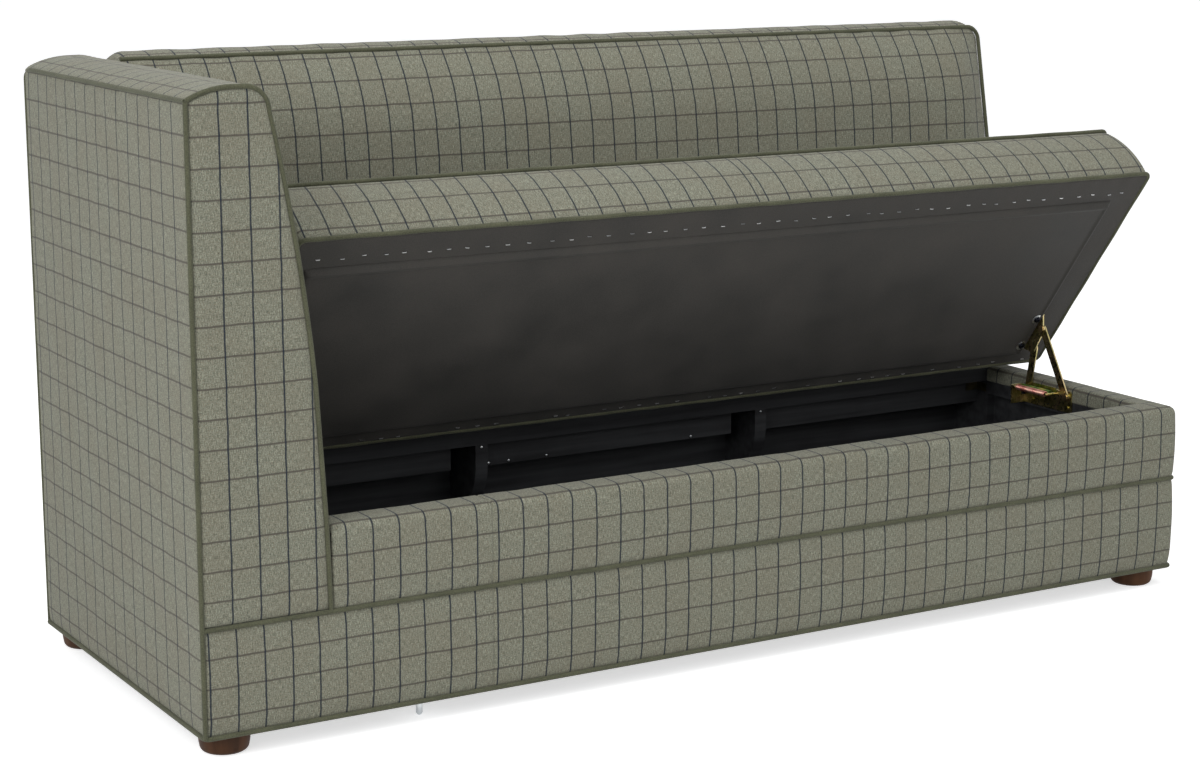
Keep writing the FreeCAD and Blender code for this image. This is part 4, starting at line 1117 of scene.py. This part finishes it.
@dataclass
class BaseBands:
    """The padded bands round the front and the free end, and the piping between and under them."""

    faces: Faces
    corner: float = 0.009
    least_bend: float = 0.0015
    front_wrap: float = 0.0562
    end_wrap: float = 0.0502
    wrap_drop: float = 0.028
    top_roll: float = 0.0095
    inner_roll: Pair = (0.004, 0.0012)
    lower_start: float = 0.003
    upper_start: float = 0.1938
    rear_gap: float = 0.005
    tuck: float = 0.0045
    seam_gap: float = 0.0008
    joins: Pair = (0.4435, 1.4755)
    join_depths: Pair = (0.0016, 0.0010)
    join_width: float = 0.0016
    join_reach: float = 0.004
    reserve: float = 0.12
    lower_lines: Pair = (0.4544, 0.4494)
    lower_level: float = 0.062
    lower_belly: float = 0.0024
    upper_lines: Pair = (0.4580, 0.4520)
    upper_level: float = 0.2226
    upper_belly: float = 0.0022
    crowded_ends: Pair = (0.12, 0.1)
    lower_rolls: SeamRolls = SeamRolls(0.034, 0.014, 0.008, 0.010)
    upper_rolls: SeamRolls = SeamRolls(0.012, 0.004, 0.008, 0.010)
    upper_backing: float = 0.002

    def wrapped(self, front_depth: Array, end_depth: Array, height: Array,
                start: float) -> tuple[Array, Array]:
        """A section carried along the front, round the free corner and along the free end.

        Each point of the section runs at its own depth behind the faces, so that the runs meet in a mitre.

        Args:
            front_depth: depth of each section point behind the front face.
            end_depth: depth of each section point behind the free end's face.
            height: height of each section point.
            start: x where the band starts.

        Returns:
            The grid of points, and the distance along the cloth of each.
        """
        f = self.faces
        d, e = front_depth[:, None], end_depth[:, None]
        bend = np.maximum(self.corner - d, self.least_bend)
        hold_x, hold_y = f.right - self.reserve, f.front + self.reserve
        joins = f.left + np.array(self.joins)[:, None]
        near = (joins + np.linspace(-self.join_reach, self.join_reach, 13)).ravel()
        steady = np.sort(np.append(spread(start, hold_x, 250), near[near > start]))[None]
        angle = np.linspace(0.0, math.pi / 2, 12)[None]
        squeeze = np.linspace(0.0, 1.0, 40)[None, 1:]
        to_rear = spread(hold_y, f.rear - self.rear_gap, 90)[None, 1:]
        x_turn, y_turn = f.right - e - bend, f.front + d + bend
        runs = (
            (steady, f.front + d), (hold_x + (x_turn - hold_x) * squeeze, f.front + d),
            (x_turn + bend * np.sin(angle), y_turn - bend * np.cos(angle)),
            (f.right - e, y_turn + (hold_y - y_turn) * squeeze), (f.right - e, to_rear),
        )
        runs = [grid(x, y, height[:, None]) for x, y in runs]
        points = np.concatenate(runs, axis=1)
        turn = np.cumsum(np.repeat((0.0, 0.0, 1 / angle.size, 0.0, 0.0), [run.shape[1] for run in runs]))
        across, aside = points[..., 0] - f.left, f.right - f.left + points[..., 1] - f.front
        return points, (1 - turn) * across + turn * aside

    def check(self, distance: Array, lines: Pair) -> Array:
        """Distances along the cloth from a line of its check, one line before the first join, one after."""
        return (distance - np.where(distance < self.joins[0], *lines)) * TWEED.pull

    def creases(self, distance: Array) -> Array:
        """Depth of the two upright joins in the cloth: a narrow bell curve at each."""
        gap = distance[..., None] - np.array(self.joins)
        return bell(gap, self.join_width) @ np.array(self.join_depths)

    def build(self) -> None:
        """Make the bands and their piping."""
        self.cover_lower()
        self.cover_upper()
        self.run_piping()

    def cover_lower(self) -> None:
        """Lower band: an upright strip that bellies out and rolls under at its bottom edge."""
        f, rows = self.faces, 60
        z = spread(f.floor_seam + self.seam_gap, f.mid_seam - self.seam_gap, rows)
        depth = np.full_like(z, self.tuck)
        base, distance = self.wrapped(depth, depth, z, f.left + self.lower_start)
        cloth = TWEED.lay(self.check(distance, self.lower_lines), z[:, None] - self.lower_level)
        belly = self.lower_belly * bow(rows)[:, None]
        swell = self.tuck + belly + uneven(cloth, 0.0006, seed=19) - self.creases(distance)
        patches = stuffed(base, cloth, swell, self.lower_rolls, Facing.FRONT)
        upholster("base_lower_band", patches, ["front_lower_band", "end_lower_band"])

    def cover_upper(self) -> None:
        """Upper band: up the face, over the rolled top edge, across the rail and down inside it."""
        f, tuck, roll = self.faces, self.tuck, self.top_roll
        low, top = f.mid_seam + self.seam_gap, f.rail_top - tuck
        inside, drop = self.front_wrap - tuck, f.rail_top - self.wrap_drop
        inner, cut = self.inner_roll
        section = joined(
            [(tuck, low)],
            quarter((tuck + roll, top - roll), roll, 180.0, 90.0, 16),
            arc_through((inside - inner, top), (inside - cut, top - cut), (inside, top - inner), 8),
            [(inside, drop)],
        )
        first, last = self.crowded_ends
        places = np.concatenate([np.linspace(0, 1, 58), first * eased(20), 1 - last * eased(14)])
        section = along(section, np.unique(places))
        depth, z = section[:, 0], section[:, 1]
        share = np.clip((depth - tuck - roll) / (inside - tuck - roll), 0.0, 1.0)
        end_depth = depth - share * (self.front_wrap - self.end_wrap)
        base, distance = self.wrapped(depth, end_depth, z, f.left + self.upper_start)
        run = walked(section)[:, None]
        cloth = TWEED.lay(self.check(distance, self.upper_lines), run + low - self.upper_level)
        face = np.clip((f.rail_top - roll - z) / (f.rail_top - roll - low), 0.0, 1.0)[:, None]
        belly = self.upper_belly * np.sin(math.pi * face)
        swell = tuck + belly + np.minimum(uneven(cloth, 0.0005, seed=23), 0.0) - self.creases(distance)
        patches = stuffed(base, cloth, swell, self.upper_rolls, Facing.FRONT, self.upper_backing)
        upholster("base_upper_band", patches, ["front_upper_band", "end_upper_band"])

    def run_piping(self) -> None:
        """Piping between the bands, and all round under them."""
        f, inset = self.faces, self.faces.cord_inset
        x0, x1, y0, y1 = f.left + inset, f.right - inset, f.front + inset, f.rear - inset
        bend, z = self.corner - inset, f.mid_seam
        middle = rounded_run(((x0, y0, z), (x1, y0, z), (x1, f.rear - self.rear_gap, z)), (bend,))
        pipe("base_mid_cord", tube(middle, UPWARD, f.cord), "mid_piping")
        z = f.floor_seam
        around = rounded_run(
            ((0.0, y1, z), (x0, y1, z), (x0, y0, z), (x1, y0, z), (x1, y1, z), (0.0, y1, z)), (bend,) * 4,
        )
        pipe("base_floor_cord", tube(around, UPWARD, f.cord, closed=True), "bottom_piping")


# Seat lid

@dataclass
class SeatLid:
    """The lift-up seat: cushion, two rings of piping, black underside, its staples and its bolts."""

    faces: Faces
    depth: float = 0.450
    thickness: float = 0.122
    crown: float = 0.016
    corner: float = 0.012
    board_inset: float = 0.009
    border: float = 0.0008
    front_bow: Pair = (-0.001, 0.004)
    front_setback: float = 0.013
    rear_bow: float = -0.001
    rear_setback: float = 0.022
    end_bulge: float = 0.0022
    end_taper: float = 0.004
    belly_height: float = 0.049
    tuck: float = 0.0035
    side_roll: float = 0.012
    side_counts: tuple[int, int, int] = (130, 10, 36)
    side_start: Pair = (0.0126, 0.019)
    pull: Pair = (1.045, 1.12)
    spine_inset: float = 0.2
    top_swell: float = 0.004
    top_roll: float = 0.1
    seam_lift: float = 0.001
    top_check: Pair = (0.018, 0.02)
    cord_wave: float = 0.11
    low_ring: float = 0.0015
    top_ring_inset: float = 0.0062
    ring_slack: Pair = (0.0005, 0.001)
    ring_wander: Pair = (0.0004, 0.0003)
    lining_gap: float = 0.003
    lining_lift: float = 0.0010
    lining_rolls: SeamRolls = SeamRolls(0.004, 0.004, 0.004, 0.004)
    lining_backing: float = 0.0006
    pucker: Triple = (0.0005, 0.018, 0.041)
    panel_reach: Pair = (0.028, 0.395)
    panel_lift: float = 0.0066
    panel_rolls: SeamRolls = SeamRolls(0.010, 0.010, 0.010, 0.010)
    panel_backing: float = 0.0008
    hem: Triple = (0.0022, 0.009, 0.0036)
    staple_step: float = 0.032
    staple_margin: float = 0.04
    staple_rows: tuple[Pair, Pair] = ((0.412, 0.0), (0.010, 0.25))
    staple: Triple = (0.0068, 0.0012, 0.0007)
    staple_stray: Triple = (0.003, 0.0012, 0.07)
    staple_gap: float = 0.0002
    washer: Pair = (0.0100, 0.0012)
    washer_bevel: Pair = (0.0004, 0.0003)
    bolt_radius: float = 0.0058
    bolt_head: float = 0.0035
    dome_pass: Triple = (0.86, 0.0016, 0.0007)
    socket: Triple = (0.45, 0.92, 0.0018)
    origin: Array = field(init=False)
    ahead: Array = field(init=False)
    above: Array = field(init=False)
    left: float = field(init=False)
    right: float = field(init=False)

    def __post_init__(self) -> None:
        """Find the open lid's rear bottom edge and its two directions from its ply board."""
        corners = node_points("lid_board")
        rear, front = corners[np.argmin(corners[:, 2])], corners[np.argmin(corners[:, 1])]
        y, z = unit((front - rear)[1:])
        self.ahead, self.above = np.array([0.0, y, z]), np.array([0.0, z, -y])
        base = np.array([0.0, rear[1], rear[2]])
        self.origin = base - self.ahead * self.board_inset - self.above * self.border
        self.left = float(corners[:, 0].min()) - self.board_inset
        self.right = float(corners[:, 0].max()) + self.board_inset

    def placed(self, x: Array | float, reach: Array | float, height: Array | float) -> Array:
        """Points of the open lid: places across, reaches from its rear edge, heights over its underside."""
        return self.origin + grid(x, reach, height) @ np.array([(1.0, 0.0, 0.0), self.ahead, self.above])

    def build(self) -> None:
        """Make the cushion, its piping, its underside and its fasteners."""
        self.cover_cushion()
        self.run_piping()
        self.line_underside()
        self.hang_panel()
        self.fix_staples()
        self.fix_bolts()

    def limits(self, height: Array) -> tuple[Array, Array, Array, Array]:
        """The cushion's limits at a height: bellied front and rear arcs and slightly bellied ends.

        Args:
            height: heights over the underside.

        Returns:
            Left, right, rear and front limits.
        """
        low, belly, top = self.border, self.border + self.belly_height, self.thickness
        start, most = (self.depth + bow_out for bow_out in self.front_bow)
        front = arc_through((low, start), (belly, most), (top, self.depth - self.front_setback), 60)
        rear = arc_through((low, 0.0), (belly, self.rear_bow), (top, self.rear_setback), 60)
        bulge = self.end_bulge * np.sin(math.pi * np.clip(height / top, 0.0, 1.0))
        taper = self.end_taper * height / top
        reaches = (np.interp(height, *edge.T) for edge in (rear, front))
        return self.left + taper - bulge, self.right - taper + bulge, *reaches

    def cover_cushion(self) -> None:
        """Cushion: rings stacked up its boxing, then shrunk over the crown and under the seat to a line."""
        rows = 50
        height = spread(self.border + self.seam_lift, self.thickness, rows)
        x0, x1, rear, front = self.limits(height)
        edges = rolled(height - height[0], self.side_roll) * rolled(height[-1] - height, self.side_roll)
        tuck = self.tuck * (1 - edges)
        outline = ring((x0 + tuck, x1 - tuck, rear + tuck, front - tuck), self.corner, self.side_counts)
        side = self.placed(outline[..., 0], outline[..., 1], height[:, None])
        girth = walked(outline[rows // 2])
        long, bend, short = self.side_counts
        place = (girth[None] - girth[long + 2 * bend + short]) * self.pull[0] - self.side_start[0]
        cloth = TWEED.lay(place, (walked(side, 0) - self.side_start[1]) / self.pull[1])
        wave = uneven(cloth, 0.0006, seed=29) * bow(rows)[:, None]
        wave[:, -1] = wave[:, 0]
        patches = [Patch(side + wave[..., None] * self.above * 0.5, cloth)]
        top_steps, low_steps = eased(36), np.linspace(0.0, 1.0, 6)
        for row, crown, lip, steps in ((-1, self.crown, self.top_swell, top_steps), (0, 0.0, 0.0, low_steps)):
            rim, step = outline[row], steps[:, None, None]
            ends = np.clip(rim[:, 0], self.left + self.spine_inset, self.right - self.spine_inset)
            plan = (1 - step) * rim[None] + step * grid(ends, (rear[row] + front[row]) / 2)[None]
            across, reach, step = plan[..., 0], plan[..., 1], step[..., 0]
            swell = crown * (1 - (1 - step) ** 2) + lip * rolled(step, self.top_roll)
            cloth = TWEED.lay(across - self.left, reach, self.top_check)
            patches.append(Patch(self.placed(across, reach, height[row] + swell), cloth))
        upholster("seat_cushion", patches, ["lid_cushion"], "lid")

    def ring_cord(self, limits: Sequence[float], height: float, wander: float) -> Patch:
        """One ring of piping at a height, wandering a little as sewn piping does.

        Args:
            limits: left, right, rear and front limits.
            height: height over the underside.
            wander: how far it strays.

        Returns:
            The tube.
        """
        line = ring(limits, self.corner, (220, 12, 60))[0]
        line = line[np.append(True, np.linalg.norm(np.diff(line, axis=0), axis=1) > 1e-6)]
        run = walked(line)
        stray = wander * np.sin(2 * math.pi * np.round(run[-1] / self.cord_wave) * run / run[-1])
        path = self.placed(line[:, 0], line[:, 1], height + stray)
        return tube(path, self.above, self.faces.cord, closed=True)

    def run_piping(self) -> None:
        """Piping round the bottom edge and round the top edge."""
        left, right, inset = self.left, self.right, self.top_ring_inset
        proud, slack = self.ring_slack
        low = (left - proud, right - slack, 0.0, self.depth + proud)
        top = (left + inset, right - inset, self.rear_setback, self.depth - self.front_setback + slack)
        low_cord = self.ring_cord(low, self.low_ring, self.ring_wander[0])
        top_cord = self.ring_cord(top, self.thickness, self.ring_wander[1])
        pipe("seat_low_cord", low_cord, "lid_bottom_piping", "lid")
        pipe("seat_top_cord", top_cord, "lid_top_piping", "lid")

    def line_underside(self) -> None:
        """Black lining over the underside, puckered along its front and rear edges."""
        gap = self.lining_gap
        x = spread(self.left + gap, self.right - gap, 240)[None]
        reach = spread(gap, self.depth - gap, 90)[:, None]
        tall, fade, length = self.pucker
        edge = np.exp(-np.minimum(reach, self.depth - reach) / fade)
        swell = self.lining_lift + tall * edge * np.sin(2 * math.pi * x / length)
        base, cloth = self.placed(x, reach, self.border), grid(x, reach)
        patches = stuffed(base, cloth, swell, self.lining_rolls, Facing.FRONT, self.lining_backing)
        lining = sew("seat_lining", patches, LINING, "lid")
        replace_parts(lining, "lid_border")

    def hang_panel(self) -> None:
        """Dust panel proud of the lining, with a hem at its front and right edges."""
        low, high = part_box("lid_dust_panel")
        x = spread(low.x, high.x, 240)[None]
        reach = spread(*self.panel_reach, 100)[:, None]
        tall, inset, width = self.hem
        hem = tall * bell(np.minimum(self.panel_reach[1] - reach, high.x - x) - inset, width)
        cloth = grid(x, reach)
        swell = self.panel_lift + hem + uneven(cloth * 14.0, 0.0003, seed=31)
        base = self.placed(x, reach, 0.0)
        patches = stuffed(base, cloth, swell, self.panel_rolls, Facing.FRONT, self.panel_backing)
        panel = sew("seat_dust_panel", patches, LINING, "lid")
        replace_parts(panel, "lid_dust_panel")

    def fix_staples(self) -> None:
        """Rows of staples near the front and rear edges: one low bar each, a little out of line."""
        dice = np.random.default_rng(41)
        start, end = self.left + self.staple_margin, self.right - self.staple_margin
        count = int((end - start) / self.staple_step)
        sideways, ahead, twist = self.staple_stray
        rows = []
        for reach, missing in self.staple_rows:
            x = np.linspace(start, end, count) + dice.normal(0.0, sideways, count)
            keep = dice.uniform(0.0, 1.0, count) >= missing
            spots = grid(x, reach + dice.normal(0.0, ahead, count), dice.normal(0.0, twist, count))
            rows.append(spots[keep])
        x, reach, turn = np.concatenate(rows).T[:, :, None, None]
        long, wide, tall = self.staple
        bar = np.array([(-0.5, 0.0), (-0.42, 1.0), (0.42, 1.0), (0.5, 0.0)]) * (long, tall)
        section = np.array([(-0.5, 0.0), (0.5, 0.0), (0.5, 1.0), (-0.5, 1.0), (-0.5, 0.0)]) * (wide, tall)
        (run, drop), (aside, lift) = bar.T[:, None, :, None], section.T[:, None, None, :]
        points = self.placed(
            x + run * np.cos(turn) - aside * np.sin(turn), reach + run * np.sin(turn) + aside * np.cos(turn),
            -drop - lift - self.staple_gap,
        )
        middle = points.mean(axis=2, keepdims=True) + 0.0 * points
        points = np.concatenate([middle[:, :1], points, middle[:, -1:]], axis=1)
        patches = [Patch(bars, np.zeros(bars.shape[:2] + (2,))) for bars in points]
        sew("seat_staples", patches, STAPLE_WIRE, "lid", crease=30.0)

    def fix_bolts(self) -> None:
        """Socket bolts on bright washers through the hinge plates, at the places of the plain ones."""
        points = node_points("lid_bolts")
        x = points[:, 0]
        reach, height = ((points - self.origin) @ way for way in (self.ahead, self.above))
        (radius, thick), bolt = self.washer, self.bolt_radius
        seat, top = height.min() + self.bolt_head, height.min()
        (share, taper, sunk), (bulge, start, drop) = self.socket, self.dome_pass
        inward, upward = self.washer_bevel
        plate, floor, socket = seat + thick, top + sunk, bolt * share
        edge = [(radius, plate), (radius, seat + upward), (radius - inward, seat)]
        washer = joined([(0.0, plate)], edge, [(0.0, seat)])
        dome = arc_through((bolt, seat - start), (bolt * bulge, top + drop), (socket, top), 9)
        head = joined([(0.0, seat), (bolt, seat)], dome, [(socket * taper, floor), (0.0, floor)])
        far, deep = (part > (part.min() + part.max()) / 2 for part in (x, reach))
        centres = []
        for group in (far & deep, far & ~deep, ~far & deep, ~far & ~deep):
            middle = ((part[group].min() + part[group].max()) / 2 for part in (x, reach))
            centres.append(self.placed(*middle, 0.0))
        for name, line, finish, slot in (("lid_washers", washer, BRIGHT_ZINC, "bright_zinc_steel"),
                                         ("lid_bolt_heads", head, BLACK_STEEL, "black_steel")):
            patches = [turned(line, centre, self.above, sides=36) for centre in centres]
            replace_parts(sew(name, patches, finish, "lid", crease=35.0), "lid_bolts")


# Storage box

@dataclass
class BoxScrews:
    """Small bright screws that hold the rails and ribs of the storage box."""

    radius: float = 0.0024
    height: float = 0.0012
    sunk: float = 0.0006
    rail_spots: tuple[float, ...] = (-0.185, -0.148, -0.077, 0.205)
    edge_gap: float = 0.004

    def build(self) -> None:
        """Set domed screw heads into the front of the lower rail near its bottom edge, and into the ribs."""
        low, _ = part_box("lower_rails")
        spots = [(x, low.y, low.z + self.edge_gap) for x in self.rail_spots]
        for name in ("ledge_rib_left", "ledge_rib_right"):
            rib_low, rib_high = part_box(name)
            spots.append(((rib_low.x + rib_high.x) / 2, rib_low.y, rib_high.z - self.edge_gap))
        dome = quarter((0.0, 0.0), 1.0, 0.0, 90.0, 6) * (self.radius, self.height)
        profile = joined([(0.0, -self.sunk), (self.radius, -self.sunk)], dome)
        heads = [turned(profile, spot, Facing.FRONT.value, sides=12) for spot in spots]
        sew("box_screw_heads", heads, BRIGHT_ZINC, "base", crease=40.0)


# Hinges, feet and underside

@dataclass
class LiftHinges:
    """The wound assist springs of both lift hinges, stretched from the base to the front links."""

    coil_radius: float = 0.0043
    wire: float = 0.00095
    pitch: float = 2.12
    hook: float = 0.007
    hook_lap: float = 0.001
    hook_wire: float = 1.3
    walls: Pair = (-0.665, 0.8213)
    from_wall: Pair = (0.0172, 0.0280)

    def build(self) -> None:
        """Wind two springs for each hinge: a close helix with a straight hook at each end."""
        low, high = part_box("assist_springs")
        height, front, rear = (low.z + high.z) / 2, low.y, high.y
        for name, gap, finish in zip(("rear", "fore"), self.from_wall, (GREEN_ZINC, ROSE_ZINC)):
            patches = []
            for wall, inward in zip(self.walls, (1.0, -1.0)):
                patches += self.wound(wall + inward * gap, front, rear, height)
            piece = sew(f"assist_springs_{name}", patches, finish, "base")
            piece.parent = None
            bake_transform(piece)
            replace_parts(piece, "assist_springs")

    def wound(self, x: float, front: float, rear: float, height: float) -> list[Patch]:
        """A helix whose turns touch, with straight wire out to both pins.

        Args:
            x: place of the spring's axis.
            front: front end of its hook.
            rear: rear end of its hook.
            height: height of its axis.

        Returns:
            The coil and its two hooks.
        """
        y0, y1 = front + self.hook, rear - self.hook
        turns = (y1 - y0) / (self.pitch * self.wire)
        angle = np.linspace(0.0, 2 * math.pi * turns, int(turns * 16))
        radial = grid(np.cos(angle), 0.0, np.sin(angle))
        coil = grid(x, np.linspace(y0, y1, len(angle)), height) + self.coil_radius * radial
        patches = [tube(coil, radial, self.wire, sides=6)]
        for start, end in ((front, y0 + self.hook_lap), (y1 - self.hook_lap, rear)):
            hook = grid(x, np.linspace(start, end, 5), height)
            patches.append(tube(hook, UPWARD, self.wire * self.hook_wire, sides=8))
        return patches


@dataclass
class Underside:
    """Turned wooden feet and the black cloth under the base."""

    faces: Faces
    inset: float = 0.046
    radius: float = 0.036
    sole: float = 0.0345
    edge: float = 0.009
    side_pass: Pair = (0.0356, 0.0145)
    side_top: float = 0.020
    cloth_gap: float = 0.0002
    cloth_lift: float = 0.0010
    cloth_rolls: SeamRolls = SeamRolls(0.05, 0.05, 0.05, 0.05)
    cloth_backing: float = 0.0001

    def build(self) -> None:
        """Make the feet and the cloth."""
        self.turn_feet()
        self.stretch_cloth()

    def turn_feet(self) -> None:
        """Four low feet: a rounded sole edge and a side that swells to its full width."""
        f, top = self.faces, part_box("feet")[1].z
        profile = joined(
            [(0.0, 0.0)],
            quarter((self.sole - self.edge, self.edge), self.edge, -90.0, 0.0, 8),
            arc_through((self.sole, self.edge), self.side_pass, (self.radius, self.side_top), 10),
            [(self.radius, top), (0.0, top)],
        )
        spots = [(x, y, 0.0) for x in (f.left + self.inset, f.right - self.inset)
                 for y in (f.front + self.inset, f.rear - self.inset)]
        patches = [turned(profile, spot) for spot in spots]
        feet = sew("turned_feet", patches, STAINED_WOOD, "base", crease=40.0)
        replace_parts(feet, "feet")

    def stretch_cloth(self) -> None:
        """A thin sheet under the base, a little uneven."""
        low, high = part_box("under_cover")
        x, y = spread(low.x, high.x, 120)[None], spread(low.y, high.y, 60)[:, None]
        cloth = grid(x, y)
        swell = self.cloth_lift + uneven(cloth * 12.0, 0.0004, seed=37)
        base = grid(x, y, high.z - self.cloth_gap)
        patches = stuffed(base, cloth, swell, self.cloth_rolls, Facing.DOWN, self.cloth_backing)
        sheet = sew("under_cloth", patches, LINING, "base")
        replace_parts(sheet, "under_cover")


# Stage

@dataclass(frozen=True)
class Lamp:
    """A square soft lamp: its place, width in metres and power in watts."""

    name: str
    place: Triple
    size: float
    power: float


@dataclass
class Studio:
    """A pale floor, soft lamps and a camera at the photograph's angle."""

    place: Triple = (-2.0800, -3.4137, 1.1842)
    azimuth: float = -30.638
    elevation: float = 11.488
    focal: float = 76.27
    sensor: float = 36.0
    view_end: float = 200.0
    floor: float = 60.0
    floor_lift: float = 0.62
    sky: Rgba = (0.96, 0.98, 1.0, 1.0)
    sky_light: float = 0.45
    aim: Triple = (0.0, 0.0, 0.45)
    lamps: tuple[Lamp, ...] = (
        Lamp("key_lamp", (-4.0, -2.2, 2.8), 3.0, 120.0),
        Lamp("fill_lamp", (1.5, -5.0, 2.2), 3.0, 34.0),
        Lamp("top_lamp", (0.2, -0.6, 4.2), 3.4, 70.0),
    )

    def build(self) -> None:
        """Set up the view, the floor, the world and the lamps."""
        bpy.context.scene.view_settings.view_transform = "Standard"
        self.set_camera()
        self.lay_floor()
        self.light_world()
        for lamp in self.lamps:
            self.hang(lamp)

    def set_camera(self) -> None:
        """A camera where the photograph's own was, as its edges tell."""
        lens = bpy.data.cameras.new("photo_camera")
        lens.lens, lens.sensor_width, lens.sensor_fit = self.focal, self.sensor, "HORIZONTAL"
        lens.clip_end = self.view_end
        camera = bpy.data.objects.new("photo_camera", lens)
        camera.location = self.place
        camera.rotation_euler = (math.radians(90.0 - self.elevation), 0.0, math.radians(self.azimuth))
        bpy.context.scene.collection.objects.link(camera)
        bpy.context.scene.camera = camera

    def lay_floor(self) -> None:
        """A wide pale floor, lifted to white for the eye and for reflections, so that its shadow stays."""
        half = self.floor / 2
        mesh = bpy.data.meshes.new("studio_floor")
        corners = [(-half, -half, 0), (half, -half, 0), (half, half, 0), (-half, half, 0)]
        mesh.from_pydata(corners, [], [(0, 1, 2, 3)])
        r = Recipe("pale_floor")
        r.set(Base_Color=tone(240, 240, 240), Roughness=0.9, Specular_IOR_Level=0.1, Emission_Color=WHITE)
        r.set(Emission_Strength=r.sums("MULTIPLY", r.watched(), self.floor_lift))
        mesh.materials.append(r.material)
        floor = bpy.data.objects.new("studio_floor", mesh)
        bpy.context.scene.collection.objects.link(floor)

    def light_world(self) -> None:
        """An even pale sky: white to the eye and in reflections, softer as a light."""
        world = bpy.data.worlds.new("studio_world")
        bpy.context.scene.world = world
        world.use_nodes = True
        nodes = Nodes(world.node_tree)
        lit = nodes.add("ShaderNodeBackground", {0: self.sky, 1: self.sky_light})
        seen = nodes.add("ShaderNodeBackground", {0: WHITE, 1: 1.0})
        mix = nodes.add("ShaderNodeMixShader", {0: nodes.watched(), 1: lit.outputs[0], 2: seen.outputs[0]})
        nodes.add("ShaderNodeOutputWorld", {0: mix.outputs[0]})

    def hang(self, lamp: Lamp) -> None:
        """Hang a lamp and turn it towards the middle of the piece.

        Args:
            lamp: the lamp.
        """
        light = bpy.data.lights.new(lamp.name, "AREA")
        light.size, light.energy = lamp.size, lamp.power
        hung = bpy.data.objects.new(lamp.name, light)
        hung.location = lamp.place
        away = unit(np.array(lamp.place) - np.array(self.aim))
        hung.rotation_euler = (math.acos(away[2]), 0.0, math.atan2(away[1], away[0]) + math.pi / 2)
        bpy.context.scene.collection.objects.link(hung)


def dress_solids() -> None:
    """Give every CAD solid the finish of its slot, or its own."""
    for name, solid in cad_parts.items():
        slot = solid.data.materials[0].name.split(".")[0]
        solid.data.materials[0] = NODE_FINISHES.get(name, SLOT_FINISHES[slot]).material()
        LOG.info("%s: %s", name, slot)


def main() -> None:
    """Build the stage, the upholstery and the metalwork in order."""
    logging.basicConfig(level=logging.INFO, format="%(message)s")
    faces = Faces.read()
    Studio().build()
    dress_solids()
    arm = ArmUpholstery(faces)
    assemblies = (
        arm, BackUpholstery(faces, arm), BaseBands(faces), SeatLid(faces),
        BoxScrews(), LiftHinges(), Underside(faces),
    )
    for assembly in assemblies:
        assembly.build()
        LOG.info("built %s", type(assembly).__name__)


if __name__ == "__main__":
    main()
